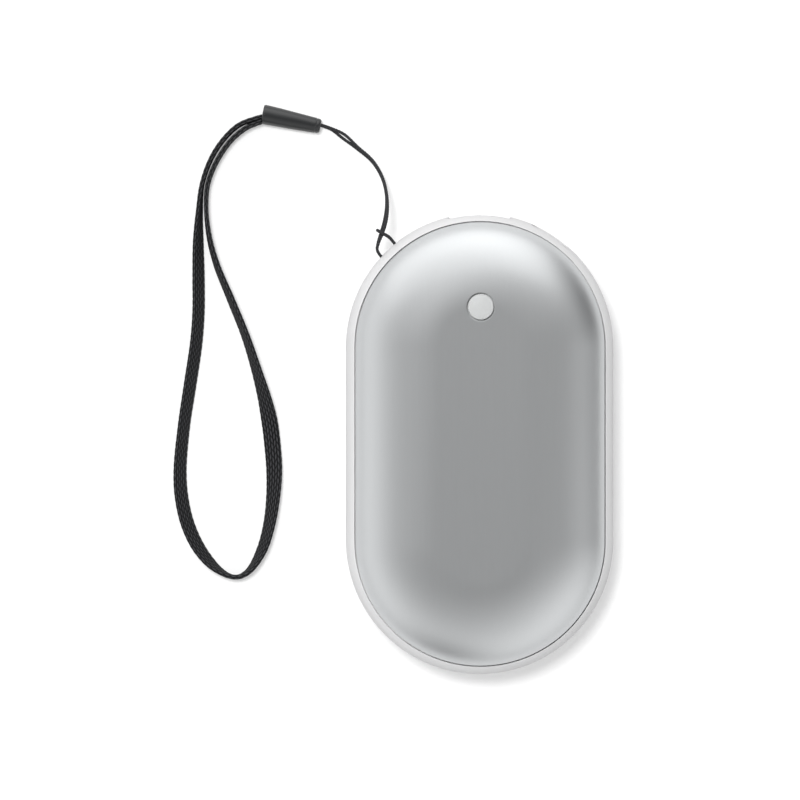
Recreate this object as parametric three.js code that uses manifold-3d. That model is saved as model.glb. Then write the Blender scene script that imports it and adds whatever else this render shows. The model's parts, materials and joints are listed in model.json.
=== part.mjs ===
// A rechargeable hand warmer: a pill-shaped body of two domed aluminium shells in a plastic rim, with a power
// button, two sockets, heater films, cells and a board inside, and a wrist strap hitched to the rim.
// Millimetres, +Z up. The body lies on its rear shell, long axis along Y, with the origin under its centre.
import * as THREE from "three";
import { mergeVertices } from "three/addons/utils/BufferGeometryUtils.js";
import Module from "manifold-3d";

const wasm = await Module();
wasm.setup();

// Driving sizes of the body
const BODY_WIDTH = 60;
const BODY_LENGTH = 103.4;
const BODY_THICKNESS = 27;
const LAND_RADIUS = 9;
const RIM_WIDTH = 1.95;
const SHELL_WALL = 0.8;
const SEAM_GAP = 0.25;

// Clearances
const FIT = 0.2;
const SEAT = 0.05;
const CUT_OVERRUN = 2;

// Body frame: the mid-plane is height 0 in each piece of the body, and each end is an arc round its centre
const END_RADIUS = BODY_WIDTH / 2;
const HALF_STRAIGHT = (BODY_LENGTH - BODY_WIDTH) / 2;
const MID_HEIGHT = BODY_THICKNESS / 2;
const END_SEGMENTS = 16;
const DOME_STEPS = 8;
const SHEET_STEPS = 3;

// Middle frame
const FRAME_WALL = 2.2;
const LIP_HEIGHT = 1.72;
const LIP_THICKNESS = 1;
const FLANGE_THICKNESS = 1;
const BAND_STEPS = 6;

// Lanyard eye: a curved bore that leaves a bridge in the rim
const EYE_DEGREES = 133.5;
const EYE_PITCH_RADIUS = 2.5;
const EYE_BORE_RADIUS = 1.3;
const EYE_WALL = 1;
const STRING_DIAMETER = 0.7;

// Power button
const BUTTON_HOLE_DIAMETER = 6.3;
const BUTTON_GAP = 0.3;
const BUTTON_SETBACK = 0.3;
const BUTTON_PROUD = 0.35;
const BUTTON_CROWN = 0.25;
const BUTTON_CROWN_SHARES = [[1, 2], [0.96, 1], [0.75, 0.33], [0.4, 0.08], [0, 0]];
const BUTTON_FLANGE_REACH = 0.95;
const BUTTON_FLANGE_THICKNESS = 1;
const BUTTON_FLANGE_DEPTH = 0.5;
const BUTTON_STEM_RADIUS = 1.6;
const BUTTON_TRAVEL = 0.35;

// Board and its switch
const BOARD_THICKNESS = 1.2;
const BOARD_HEADROOM = 0.53;
const SOCKET_LIFT = 0.1;
const SWITCH_SIZE = 6;
const SWITCH_HEIGHT = 3.1;
const PLUNGER_RADIUS = 1.7;
const PLUNGER_PROUD = 1.25;

// Sockets, which keep to their standard sizes
const USB_A_WIDTH = 13.1;
const USB_A_HEIGHT = 5.7;
const USB_A_DEPTH = 14;
const USB_A_CORNER = 0.6;
const USB_A_TONGUE = { block: 4, low: 0.2, thick: 1.8, side: 1, recess: 1.2 };
const USB_C_WIDTH = 8.94;
const USB_C_HEIGHT = 3.16;
const USB_C_DEPTH = 7.3;
const USB_C_OFFSET = 16.04;
const USB_C_TONGUE = { block: 2, low: -0.35, thick: 0.7, side: 1.12, recess: 0.8 };
const SOCKET_WALL = 0.3;
const SOCKET_RECESS = 0.55;
const WINDOW_GAP = 0.3;

// Cells, given by the room beside, above and behind them: 18.4 by 65 mm
const CELL_SIDE_ROOM = 11.4;
const CELL_HEADROOM = 4.3;
const CELL_END_ROOM = 13.3;
const CELL_GAP = 0.4;
const CELL_EDGE = 0.7;
const CELL_BUTTON = { radius: 3, height: 0.5 };
const CELL_GROOVE = { drop: 3.4, depth: 0.5, width: 1.2 };
const STRIP_THICKNESS = 0.3;
const STRIP_REACH = 3.2;
const STRIP_ROOM = 1.8;

// Carriers with their snap hooks
const CARRIER_HEIGHT = 1.2;
const CARRIER_EDGE = 0.65;
const HOOK_THICKNESS = 1.1;
const HOOK_GAP = 0.3;
const HOOK_BARB = 0.9;
const HOOK_BARB_HEIGHT = 1.2;
const HOOK_WIDTH = 5;
const END_HOOK_WIDTH = 3;
const HOOK_END_ROOM = 3.7;
const HOOK_ROOT = 0.6;

// Heater films and foam pads
const FILM_THICKNESS = 0.3;
const FILM_DROP = 2;
const FILM_END_ROOM = 4.6;
const PAD_WIDTH = 17;
const PAD_ROOM = 1;
const PAD_CORNER = 3;

// Inner chassis and screws
const SPINE_HALF = 4;
const SPINE_HEIGHT = 3.4;
const CHASSIS_RISE = 0.8;
const RAIL_WIDTH = 1.6;
const RAIL_RISE = 1.8;
const RAIL_START_ROOM = 11.4;
const RAIL_END_ROOM = 1.6;
const RIB_THICKNESS = 3;
const RIB_ROOM = 2.5;
const WEB_REACH = 5.6;
const WEB_DROP = 1.3;
const TAB_THICKNESS = 1.5;
const BOSS_RADIUS = 2.3;
const BOSS_HEIGHT = 4;
const BOSS_DROP = 3;
const STOP_HALF = 8;
const STOP_THICKNESS = 1.4;
const STOP_TOP = 2;
const SHELF_EDGE = 2;
const SHELF_WIDTH = 5.6;
const SHELF_THICKNESS = 1.6;
const POST_RADIUS = 2.2;
const SCREW_RADIUS = 0.9;
const SCREW_HEAD_RADIUS = 1.8;
const SCREW_HEAD_HEIGHT = 1.1;
const SCREW_GRIP = 4.9;
const PILOT_GAP = 0.1;
const PILOT_SPARE = 0.4;

// Components: width, length and height. Their places, across and along from the button, are shares of the
// board's reach.
const LED_SIZE = [1.6, 1, 0.7];
const LED_SHARE = 0.207;
const INDUCTOR_SIZE = [6.2, 6.2, 3];
const INDUCTOR_SHARES = [-0.39, 0.24];
const INDUCTOR_CORNER = 1.5;
const CHIP_SIZE = [4.9, 3.9, 1.5];
const CHIP_SHARES = [0.358, 0.253];
const MOSFET_SIZE = [3.3, 3.3, 1];
const MOSFET_SHARES = [0.392, 0];
const CAPACITOR_RADIUS = 2.5;
const CAPACITOR_HEIGHT = 4.5;
const CAPACITOR_SHARES = [0, 0.337];
const POST_SHARE = 0.6;
const BEAD_SIZE = [2, 3.2, 0.9];

// Strap
const SLEEVE_WIDE_RADIUS = 2.25;
const SLEEVE_NARROW_RADIUS = 1.65;
const SLEEVE_EDGE = 0.3;
const SLEEVE_BOW = 0.17;
const BAND_WIDTH = 3.8;
const BAND_THICKNESS = 1.05;
const BAND_CHAMFER = 0.25;
const FLOOR_GAP = 0.02;
const LEAD_DIAMETER = 1.1;

// Colours
const SATIN_ALUMINIUM = { color: 0xb9bbbc, metalness: 1, roughness: 0.35 };
const PALE_PLASTIC = { color: 0xdededd, metalness: 0, roughness: 0.5 };
const CLEAR_WHITE = { color: 0xe4e6e4, metalness: 0, roughness: 0.4 };
const BLACK_CORD = { color: 0x1d1d1f, metalness: 0, roughness: 0.9 };
const BLACK_SLEEVE = { color: 0x24252a, metalness: 0, roughness: 0.55 };
const BLACK_PLASTIC = { color: 0x222222, metalness: 0, roughness: 0.5 };
const GREY_PLASTIC = { color: 0x8b8f92, metalness: 0, roughness: 0.6 };
const BRIGHT_STEEL = { color: 0xc8c8c8, metalness: 1, roughness: 0.3 };
const CELL_WRAP = { color: 0x3f8f5a, metalness: 0, roughness: 0.4 };
const FILM_AMBER = { color: 0xb8772a, metalness: 0, roughness: 0.4 };
const FOAM_GREY = { color: 0x6a6a6a, metalness: 0, roughness: 1 };
const BOARD_GREEN = { color: 0x1f6b3a, metalness: 0, roughness: 0.5 };
const RED_LEAD = { color: 0xb3261e, metalness: 0, roughness: 0.5 };
const BLACK_LEAD = { color: 0x202020, metalness: 0, roughness: 0.5 };

// A closed geometry as a solid that can be cut and joined
function solid(geometry) {
  const bare = geometry.clone();
  bare.deleteAttribute("normal");
  bare.deleteAttribute("uv");
  const merged = mergeVertices(bare, 1e-4);
  const corners = merged.index.array;
  const kept = [];
  for (let i = 0; i < corners.length; i += 3) {
    const [a, b, c] = [corners[i], corners[i + 1], corners[i + 2]];
    if (a !== b && b !== c && c !== a) kept.push(a, b, c);
  }
  const vertProperties = new Float32Array(merged.attributes.position.array);
  return new wasm.Manifold(new wasm.Mesh({ numProp: 3, vertProperties, triVerts: new Uint32Array(kept) }));
}

// A cut or joined solid as a geometry
function surface(made) {
  const mesh = made.getMesh();
  const geometry = new THREE.BufferGeometry();
  geometry.setAttribute("position", new THREE.BufferAttribute(new Float32Array(mesh.vertProperties), 3));
  geometry.setIndex(new THREE.BufferAttribute(new Uint32Array(mesh.triVerts), 1));
  return geometry;
}

function join(first, ...others) {
  return surface(others.reduce((made, other) => made.add(solid(other)), solid(first)));
}

function cut(first, ...others) {
  return surface(others.reduce((made, other) => made.subtract(solid(other)), solid(first)));
}

function common(first, other) {
  return surface(solid(first).intersect(solid(other)));
}

function box([x0, x1], [y0, y1], [z0, z1]) {
  const made = new THREE.BoxGeometry(x1 - x0, y1 - y0, z1 - z0);
  return made.translate((x0 + x1) / 2, (y0 + y1) / 2, (z0 + z1) / 2);
}

// A block centred on a place and standing on a height
function block([width, length, height], [x, y], bottom) {
  return box([x - width / 2, x + width / 2], [y - length / 2, y + length / 2], [bottom, bottom + height]);
}

// An upright round bar
function bar(radius, [x, y], [z0, z1], segments = 18) {
  const made = new THREE.CylinderGeometry(radius, radius, z1 - z0, segments).rotateX(Math.PI / 2);
  return made.translate(x, y, (z0 + z1) / 2);
}

// A profile of [radius, height] turned round an upright axis
function turned(profile, segments = 32) {
  const points = profile.map(([radius, height]) => new THREE.Vector2(radius, height));
  return new THREE.LatheGeometry(points, segments).rotateX(Math.PI / 2);
}

// A shape drawn across and up, extruded outwards along Y so that its front lies at the given place
function alongY(shape, front, depth) {
  const made = new THREE.ExtrudeGeometry(shape, { depth, bevelEnabled: false, curveSegments: 6 });
  return made.rotateX(Math.PI / 2).translate(0, front, 0);
}

function roundedShape(width, height, corner) {
  const [x, y] = [width / 2, height / 2];
  const shape = new THREE.Shape();
  shape.moveTo(corner - x, -y);
  shape.absarc(x - corner, corner - y, corner, -Math.PI / 2, 0);
  shape.absarc(x - corner, y - corner, corner, 0, Math.PI / 2);
  shape.absarc(corner - x, y - corner, corner, Math.PI / 2, Math.PI);
  shape.absarc(corner - x, corner - y, corner, Math.PI, Math.PI * 1.5);
  return shape;
}

// Turns a piece drawn radially, outwards along +Y, to its place round the upper end's centre
function roundTheEnd(geometry, degrees) {
  return geometry.rotateZ(THREE.MathUtils.degToRad(-degrees)).translate(0, HALF_STRAIGHT, 0);
}

// Sweeps a closed profile of [reach, height] points round the pill. Reach is the distance from the body's
// straight spine, and a stretch of the profile that lies on the spine makes no faces.
function aroundPill(profile) {
  let area = 0;
  profile.forEach(([reach, height], i) => {
    const [nextReach, nextHeight] = profile[(i + 1) % profile.length];
    area += reach * nextHeight - nextReach * height;
  });
  const loop = area > 0 ? profile : [...profile].reverse();
  const stations = [];
  for (const end of [1, -1]) {
    for (let i = 0; i <= END_SEGMENTS; i++) {
      const angle = (Math.PI * i) / END_SEGMENTS + (end > 0 ? 0 : Math.PI);
      stations.push([Math.cos(angle), Math.sin(angle), end * HALF_STRAIGHT]);
    }
  }
  const positions = [];
  for (const [reach, height] of loop) {
    for (const [across, along, centre] of stations) {
      positions.push(reach * across, centre + reach * along, height);
    }
  }
  const index = [];
  const count = stations.length;
  loop.forEach(([reach], j) => {
    const next = (j + 1) % loop.length;
    if (reach === 0 && loop[next][0] === 0) return;
    for (let i = 0; i < count; i++) {
      const k = (i + 1) % count;
      const [a, b, c, d] = [j * count + i, j * count + k, next * count + k, next * count + i];
      if (reach !== 0 || i % (END_SEGMENTS + 1) === END_SEGMENTS) index.push(a, b, c);
      if (loop[next][0] !== 0 || i % (END_SEGMENTS + 1) === END_SEGMENTS) index.push(a, c, d);
    }
  });
  const geometry = new THREE.BufferGeometry();
  geometry.setAttribute("position", new THREE.Float32BufferAttribute(positions, 3));
  geometry.setIndex(index);
  return geometry;
}

// The body's section is a flat land with a quarter ellipse beside it. An inset copy of it lies inside.
function domeReach(height, inset) {
  const side = END_RADIUS - LAND_RADIUS - inset;
  return LAND_RADIUS + side * Math.sqrt(1 - (height / (MID_HEIGHT - inset)) ** 2);
}

function domeHeight(reach, inset) {
  const side = END_RADIUS - LAND_RADIUS - inset;
  return (MID_HEIGHT - inset) * Math.sqrt(1 - (Math.max(reach - LAND_RADIUS, 0) / side) ** 2);
}

function domeArc(inset, low, high, steps) {
  const rise = MID_HEIGHT - inset;
  const side = END_RADIUS - LAND_RADIUS - inset;
  const [first, last] = [Math.asin(low / rise), Math.asin(high / rise)];
  const points = [];
  for (let i = 0; i <= steps; i++) {
    const angle = first + ((last - first) * i) / steps;
    points.push([LAND_RADIUS + side * Math.cos(angle), rise * Math.sin(angle)]);
  }
  return points;
}

// A dish under the dome between two insets, open below
function dish(outerInset, innerInset, low, steps) {
  const outer = domeArc(outerInset, low, MID_HEIGHT - outerInset, steps);
  const inner = domeArc(innerInset, low, MID_HEIGHT - innerInset, steps);
  const spine = [[0, MID_HEIGHT - outerInset], [0, MID_HEIGHT - innerInset]];
  return aroundPill([...outer, ...spine, ...inner.reverse()]);
}

// Seam, lip and carriers
const SEAM_HEIGHT = MID_HEIGHT * Math.sqrt(1 - (1 - RIM_WIDTH / (END_RADIUS - LAND_RADIUS)) ** 2);
const INNER_INSET = SHELL_WALL + FIT;
const LIP_TOP = SEAM_HEIGHT + LIP_HEIGHT;
const LIP_REACH = domeReach(LIP_TOP, INNER_INSET) - LIP_THICKNESS;
const FLANGE_HEIGHT = SEAM_HEIGHT - FLANGE_THICKNESS;
const WALL_REACH = END_RADIUS - FRAME_WALL;
const CARRIER_LOW = LIP_TOP + FIT;
const CARRIER_TOP = CARRIER_LOW + CARRIER_HEIGHT;
const CARRIER_REACH = domeReach(CARRIER_TOP, INNER_INSET) - CARRIER_EDGE;
const HOOK_SPACING = HALF_STRAIGHT - HOOK_END_ROOM;
const BOSS_X = LIP_REACH - FIT - BOSS_RADIUS;
const BOSS_SPACING = HOOK_SPACING / 2;

// Button, board and sockets, which hang from the board
const BUTTON_Y = HALF_STRAIGHT + LAND_RADIUS - BUTTON_SETBACK;
const BUTTON_PLACE = [0, BUTTON_Y];
const BOARD_START_Y = BUTTON_Y - SWITCH_SIZE / 2 - FIT;
const BOARD_TOP = FLANGE_HEIGHT - BOARD_HEADROOM;
const BOARD_BOTTOM = BOARD_TOP - BOARD_THICKNESS;
const BOARD_REACH = LIP_REACH - 2 * FIT;
const PART_SEAT = BOARD_TOP + SEAT;
const POST_X = BOARD_REACH * POST_SHARE;
const POST_Y = BOARD_START_Y + POST_RADIUS;
const SOCKET_FRONT = END_RADIUS - SOCKET_RECESS;
const USB_A_FRONT = SOCKET_FRONT - (END_RADIUS - Math.sqrt(END_RADIUS ** 2 - (USB_A_WIDTH / 2) ** 2));
const USB_A_LEVEL = BOARD_BOTTOM - SOCKET_LIFT - USB_A_HEIGHT / 2;
const USB_C_FRONT = SOCKET_FRONT - (END_RADIUS - Math.sqrt(END_RADIUS ** 2 - (USB_C_WIDTH / 2) ** 2));
const USB_C_LEVEL = BOARD_BOTTOM - SOCKET_LIFT - USB_C_HEIGHT / 2;
const USB_C_DEGREES = THREE.MathUtils.radToDeg(Math.asin(USB_C_OFFSET / SOCKET_FRONT));

// Cells and what carries them: the largest pair that fits both across and in height
const ROOM_ACROSS = END_RADIUS - CELL_SIDE_ROOM - CELL_GAP / 2;
const CELL_RADIUS = Math.min(ROOM_ACROSS / 2, MID_HEIGHT - CELL_HEADROOM);
const CELL_X = CELL_RADIUS + CELL_GAP / 2;
const CELL_TOP_Y = BOARD_START_Y - STRIP_THICKNESS - 3 * FIT;
const CELL_BASE_Y = CELL_END_ROOM - BODY_LENGTH / 2;
const CELL_LENGTH = CELL_TOP_Y - CELL_BASE_Y;
const FILM_OUTER_INSET = SHELL_WALL + FIT;
const FILM_INNER_INSET = FILM_OUTER_INSET + FILM_THICKNESS;
const FILM_END_Y = CELL_TOP_Y - FILM_END_ROOM;
const RAIL_INNER = CELL_X + CELL_RADIUS + 3 * FIT;
const RAIL_OUTER = RAIL_INNER + RAIL_WIDTH;
const RAIL_START_Y = CELL_BASE_Y + RAIL_START_ROOM;
const RAIL_END_Y = CELL_TOP_Y - RAIL_END_ROOM;
const WEB_RIBS_Y = [RAIL_START_Y + RIB_THICKNESS / 2, RAIL_END_Y - RIB_ROOM - RIB_THICKNESS / 2];
const MIDDLE_RIB_Y = (WEB_RIBS_Y[0] + WEB_RIBS_Y[1]) / 2;
const PAD_START_Y = WEB_RIBS_Y[0] + RIB_THICKNESS / 2 + PAD_ROOM;
const PAD_END_Y = WEB_RIBS_Y[1] - RIB_THICKNESS / 2 - PAD_ROOM;
const WEB_HALF = CELL_X + WEB_REACH;
const WEB_DEPTH = CELL_RADIUS + WEB_DROP;
const CHASSIS_DEPTH = CELL_RADIUS - CHASSIS_RISE;
const SPINE_TOP = CHASSIS_DEPTH - SPINE_HEIGHT;
const STRIP_HALF = SPINE_TOP - STRIP_ROOM;

const root = new THREE.Group();
const body = new THREE.Group();
body.position.z = MID_HEIGHT;
root.add(body);

function add(parent, name, geometry, look) {
  const mesh = new THREE.Mesh(geometry, new THREE.MeshStandardMaterial(look));
  mesh.name = name;
  parent.add(mesh);
  return mesh;
}

// The same piece on the rear side: turned half a turn round the long axis
function addRear(name, geometry, look) {
  add(body, name, geometry, look).rotation.y = Math.PI;
}

function addShells() {
  const shell = dish(0, SHELL_WALL, SEAM_HEIGHT + SEAM_GAP, DOME_STEPS);
  const hole = bar(BUTTON_HOLE_DIAMETER / 2, BUTTON_PLACE, [0, BODY_THICKNESS], 40);
  add(body, "front_shell", cut(shell, hole), SATIN_ALUMINIUM);
  addRear("rear_shell", shell, SATIN_ALUMINIUM);
}

// The bore of the lanyard eye is a ring half inside the wall, so the string enters and leaves by two holes
function eyeBore() {
  const ring = new THREE.TorusGeometry(EYE_PITCH_RADIUS, EYE_BORE_RADIUS, 12, 24);
  const [x, y] = eyePlace(END_RADIUS);
  return ring.translate(x, y, 0);
}

function eyePlace(reach) {
  const angle = THREE.MathUtils.degToRad(EYE_DEGREES);
  return [reach * Math.cos(angle), HALF_STRAIGHT + reach * Math.sin(angle)];
}

function eyeBoss() {
  const half = EYE_PITCH_RADIUS + EYE_BORE_RADIUS + EYE_WALL;
  const depth = END_RADIUS - half;
  const height = EYE_BORE_RADIUS + EYE_WALL;
  const made = box([-half, half], [depth, WALL_REACH + SOCKET_RECESS], [-height, height]);
  return roundTheEnd(made, 90 - EYE_DEGREES);
}

function usbWindows() {
  const [width, height] = [USB_A_WIDTH + 2 * WINDOW_GAP, USB_A_HEIGHT + 2 * WINDOW_GAP];
  const corner = WINDOW_GAP;
  const depth = FRAME_WALL + 2 * CUT_OVERRUN;
  const front = END_RADIUS + CUT_OVERRUN;
  const wide = alongY(roundedShape(width, height, corner), front, depth).translate(0, 0, USB_A_LEVEL);
  const [slim, low] = [USB_C_WIDTH + 2 * WINDOW_GAP, USB_C_HEIGHT + 2 * WINDOW_GAP];
  const narrow = alongY(roundedShape(slim, low, low / 2), front, depth).translate(0, 0, USB_C_LEVEL);
  return [roundTheEnd(wide, 0), roundTheEnd(narrow, USB_C_DEGREES)];
}

function addFrame() {
  const upper = [
    [domeReach(SEAM_HEIGHT, INNER_INSET), SEAM_HEIGHT],
    [domeReach(LIP_TOP, INNER_INSET), LIP_TOP],
    [LIP_REACH, LIP_TOP],
    [LIP_REACH, FLANGE_HEIGHT],
    [WALL_REACH, FLANGE_HEIGHT],
  ];
  const lower = upper.map(([reach, height]) => [reach, -height]).reverse();
  const band = domeArc(0, -SEAM_HEIGHT, SEAM_HEIGHT, BAND_STEPS);
  const added = [eyeBoss()];
  const removed = [eyeBore(), ...usbWindows()];
  for (const side of [1, -1]) {
    for (const end of [1, -1]) {
      const place = [side * BOSS_X, end * BOSS_SPACING];
      const levels = [-BOSS_DROP, BOSS_HEIGHT - BOSS_DROP];
      const reach = [BOSS_X, WALL_REACH + SOCKET_RECESS].map((x) => side * x).sort((a, b) => a - b);
      const across = [place[1] - RAIL_WIDTH / 2, place[1] + RAIL_WIDTH / 2];
      added.push(bar(BOSS_RADIUS, place, levels), box(reach, across, levels));
      const top = SCREW_GRIP - TAB_THICKNESS - FIT + PILOT_SPARE - BOSS_DROP;
      removed.push(bar(SCREW_RADIUS + PILOT_GAP, place, [-BOSS_DROP - CUT_OVERRUN, top], 12));
    }
  }
  const walls = join(aroundPill([...band, ...upper, ...lower]), ...added);
  add(body, "middle_frame", cut(walls, ...removed), PALE_PLASTIC);
}

// A snap hook drawn as [reach, height], standing out of the carrier and catching under the frame's flange
function hook(width, degrees, centreY) {
  const stem = LIP_REACH - HOOK_GAP;
  const catchHeight = FLANGE_HEIGHT - FIT;
  const shape = new THREE.Shape();
  shape.moveTo(stem - HOOK_THICKNESS, CARRIER_LOW + HOOK_ROOT);
  shape.lineTo(stem - HOOK_THICKNESS, catchHeight - HOOK_BARB_HEIGHT);
  shape.lineTo(stem - FIT, catchHeight - HOOK_BARB_HEIGHT);
  shape.lineTo(stem + HOOK_BARB, catchHeight - FIT);
  shape.lineTo(stem + HOOK_BARB, catchHeight);
  shape.lineTo(stem, catchHeight);
  shape.lineTo(stem, CARRIER_LOW + HOOK_ROOT);
  const made = new THREE.ExtrudeGeometry(shape, { depth: width, bevelEnabled: false });
  made.rotateX(Math.PI / 2).translate(0, width / 2, 0);
  return made.rotateZ(THREE.MathUtils.degToRad(degrees)).translate(0, centreY, 0);
}

function addCarriers() {
  const ring = aroundPill([
    ...domeArc(INNER_INSET, CARRIER_LOW, CARRIER_TOP, 2),
    [CARRIER_REACH, CARRIER_TOP],
    [CARRIER_REACH, CARRIER_LOW],
  ]);
  const hooks = [hook(END_HOOK_WIDTH, -90, -HALF_STRAIGHT)];
  for (const degrees of [0, 180]) {
    for (const step of [-1, 0, 1]) hooks.push(hook(HOOK_WIDTH, degrees, step * HOOK_SPACING));
  }
  const carrier = join(ring, ...hooks);
  add(body, "front_carrier", carrier, GREY_PLASTIC);
  addRear("rear_carrier", carrier, GREY_PLASTIC);
}

function addHeaters() {
  const filmEdge = MID_HEIGHT - FILM_INNER_INSET - FILM_DROP;
  const sheet = dish(FILM_OUTER_INSET, FILM_INNER_INSET, filmEdge, SHEET_STEPS);
  const kept = box([-BODY_WIDTH, BODY_WIDTH], [-BODY_LENGTH, FILM_END_Y], [0, BODY_THICKNESS]);
  const film = common(sheet, kept);
  add(body, "front_heater_film", film, FILM_AMBER);
  addRear("rear_heater_film", film, FILM_AMBER);
  const padTop = MID_HEIGHT - FILM_INNER_INSET - FIT;
  const padBottom = CELL_RADIUS + FIT;
  const outline = roundedShape(PAD_WIDTH, PAD_END_Y - PAD_START_Y, PAD_CORNER);
  const slab = { depth: padTop - padBottom, bevelEnabled: false, curveSegments: 4 };
  const pad = new THREE.ExtrudeGeometry(outline, slab);
  pad.translate(0, (PAD_START_Y + PAD_END_Y) / 2, padBottom);
  add(body, "front_foam_pad", pad, FOAM_GREY);
  addRear("rear_foam_pad", pad, FOAM_GREY);
  const beadY = RAIL_START_Y - BEAD_SIZE[1];
  const beadTop = domeHeight(BEAD_SIZE[1] / 2 - beadY - HALF_STRAIGHT, FILM_INNER_INSET) - FIT;
  const bead = block(BEAD_SIZE, [0, beadY], beadTop - BEAD_SIZE[2]);
  add(body, "thermistor_front", bead, BLACK_PLASTIC);
  addRear("thermistor_rear", bead, BLACK_PLASTIC);
}

// A round cell with its crimped groove and raised end, turned round the long axis
function cellGeometry() {
  const shoulder = CELL_LENGTH - CELL_BUTTON.height;
  const grooveStart = CELL_LENGTH - CELL_GROOVE.drop;
  const grooveEnd = grooveStart + CELL_GROOVE.width;
  const profile = [
    [0, 0],
    [CELL_RADIUS - CELL_EDGE, 0],
    [CELL_RADIUS, CELL_EDGE],
    [CELL_RADIUS, grooveStart],
    [CELL_RADIUS - CELL_GROOVE.depth, grooveStart + CELL_GROOVE.depth],
    [CELL_RADIUS - CELL_GROOVE.depth, grooveEnd],
    [CELL_RADIUS, grooveEnd + CELL_GROOVE.depth],
    [CELL_RADIUS, shoulder - CELL_EDGE],
    [CELL_RADIUS - CELL_EDGE, shoulder],
    [CELL_BUTTON.radius, shoulder],
    [CELL_BUTTON.radius, CELL_LENGTH],
    [0, CELL_LENGTH],
  ];
  return turned(profile, 22).rotateX(-Math.PI / 2).translate(0, CELL_BASE_Y, 0);
}

function addCells() {
  add(body, "battery_cell_left", cellGeometry(), CELL_WRAP).position.x = -CELL_X;
  add(body, "battery_cell_right", cellGeometry(), CELL_WRAP).position.x = CELL_X;
  const across = [-CELL_X - STRIP_REACH, CELL_X + STRIP_REACH];
  const levels = [-STRIP_HALF, STRIP_HALF];
  const positive = box(across, [CELL_TOP_Y + FIT, CELL_TOP_Y + FIT + STRIP_THICKNESS], levels);
  const negative = box(across, [CELL_BASE_Y - FIT - STRIP_THICKNESS, CELL_BASE_Y - FIT], levels);
  add(body, "nickel_strip_positive", positive, BRIGHT_STEEL);
  add(body, "nickel_strip_negative", negative, BRIGHT_STEEL);
}

// The tray under the cells: a spine, ribs and rails cut to the cells' round, tabs to the frame and a shelf
// that carries the board
function addChassis() {
  const cradle = CELL_RADIUS + 1.5 * FIT;
  const tabTop = -BOSS_DROP - FIT;
  const stopInner = CELL_BASE_Y - STRIP_THICKNESS - 3 * FIT;
  const stopOuter = stopInner - STOP_THICKNESS;
  const shelfHalf = POST_X + SHELF_EDGE;
  const shelf = [BOARD_START_Y, BOARD_START_Y + SHELF_WIDTH];
  const parts = [
    box([-STOP_HALF, STOP_HALF], [stopOuter, stopInner], [-CHASSIS_DEPTH, -STOP_TOP]),
    box([-shelfHalf, shelfHalf], shelf, [-CHASSIS_DEPTH, SHELF_THICKNESS - CHASSIS_DEPTH]),
  ];
  for (const y of [...WEB_RIBS_Y, MIDDLE_RIB_Y]) {
    const along = [y - RIB_THICKNESS / 2, y + RIB_THICKNESS / 2];
    parts.push(box([-RAIL_OUTER, RAIL_OUTER], along, [-CHASSIS_DEPTH, tabTop]));
    if (y === MIDDLE_RIB_Y) continue;
    parts.push(box([-WEB_HALF, WEB_HALF], along, [-WEB_DEPTH, -SPINE_TOP]));
  }
  const holes = [];
  for (const side of [1, -1]) {
    const rail = [side * RAIL_INNER, side * RAIL_OUTER].sort((a, b) => a - b);
    parts.push(box(rail, [RAIL_START_Y, RAIL_END_Y], [RAIL_RISE - CHASSIS_DEPTH, tabTop]));
    const post = [side * POST_X, POST_Y];
    const pilot = [BOARD_TOP - SCREW_GRIP - PILOT_SPARE, BOARD_TOP];
    parts.push(bar(POST_RADIUS, post, [-CHASSIS_DEPTH, BOARD_BOTTOM - FIT]));
    holes.push(bar(SCREW_RADIUS + PILOT_GAP, post, pilot, 12));
    for (const end of [1, -1]) {
      const place = [side * BOSS_X, end * BOSS_SPACING];
      const reach = [side * RAIL_INNER, side * BOSS_X].sort((a, b) => a - b);
      const across = [place[1] - BOSS_RADIUS, place[1] + BOSS_RADIUS];
      const levels = [tabTop - TAB_THICKNESS, tabTop];
      const headroom = [-CHASSIS_DEPTH, tabTop - TAB_THICKNESS];
      parts.push(box(reach, across, levels), bar(BOSS_RADIUS, place, levels));
      holes.push(bar(SCREW_RADIUS + FIT, place, [-CHASSIS_DEPTH, 0], 12));
      holes.push(bar(SCREW_HEAD_RADIUS + FIT, place, headroom, 14));
    }
    const trough = new THREE.CylinderGeometry(cradle, cradle, CELL_LENGTH + 2 * FIT, 24);
    holes.push(trough.translate(side * CELL_X, (CELL_BASE_Y + CELL_TOP_Y) / 2, 0));
  }
  const spine = box([-SPINE_HALF, SPINE_HALF], [stopOuter, shelf[1]], [-CHASSIS_DEPTH, -SPINE_TOP]);
  add(body, "inner_chassis", cut(join(spine, ...parts), ...holes), GREY_PLASTIC);
}

// A small screw standing head down, its head's seat at height 0
function screwGeometry() {
  const crown = SCREW_HEAD_HEIGHT / 4;
  const profile = [
    [0, -SCREW_HEAD_HEIGHT],
    [SCREW_HEAD_RADIUS - crown, -SCREW_HEAD_HEIGHT],
    [SCREW_HEAD_RADIUS, crown - SCREW_HEAD_HEIGHT],
    [SCREW_HEAD_RADIUS, 0],
    [SCREW_RADIUS, 0],
    [SCREW_RADIUS, SCREW_GRIP - SCREW_RADIUS / 2],
    [SCREW_RADIUS / 2, SCREW_GRIP],
    [0, SCREW_GRIP],
  ];
  return turned(profile, 12);
}

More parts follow.
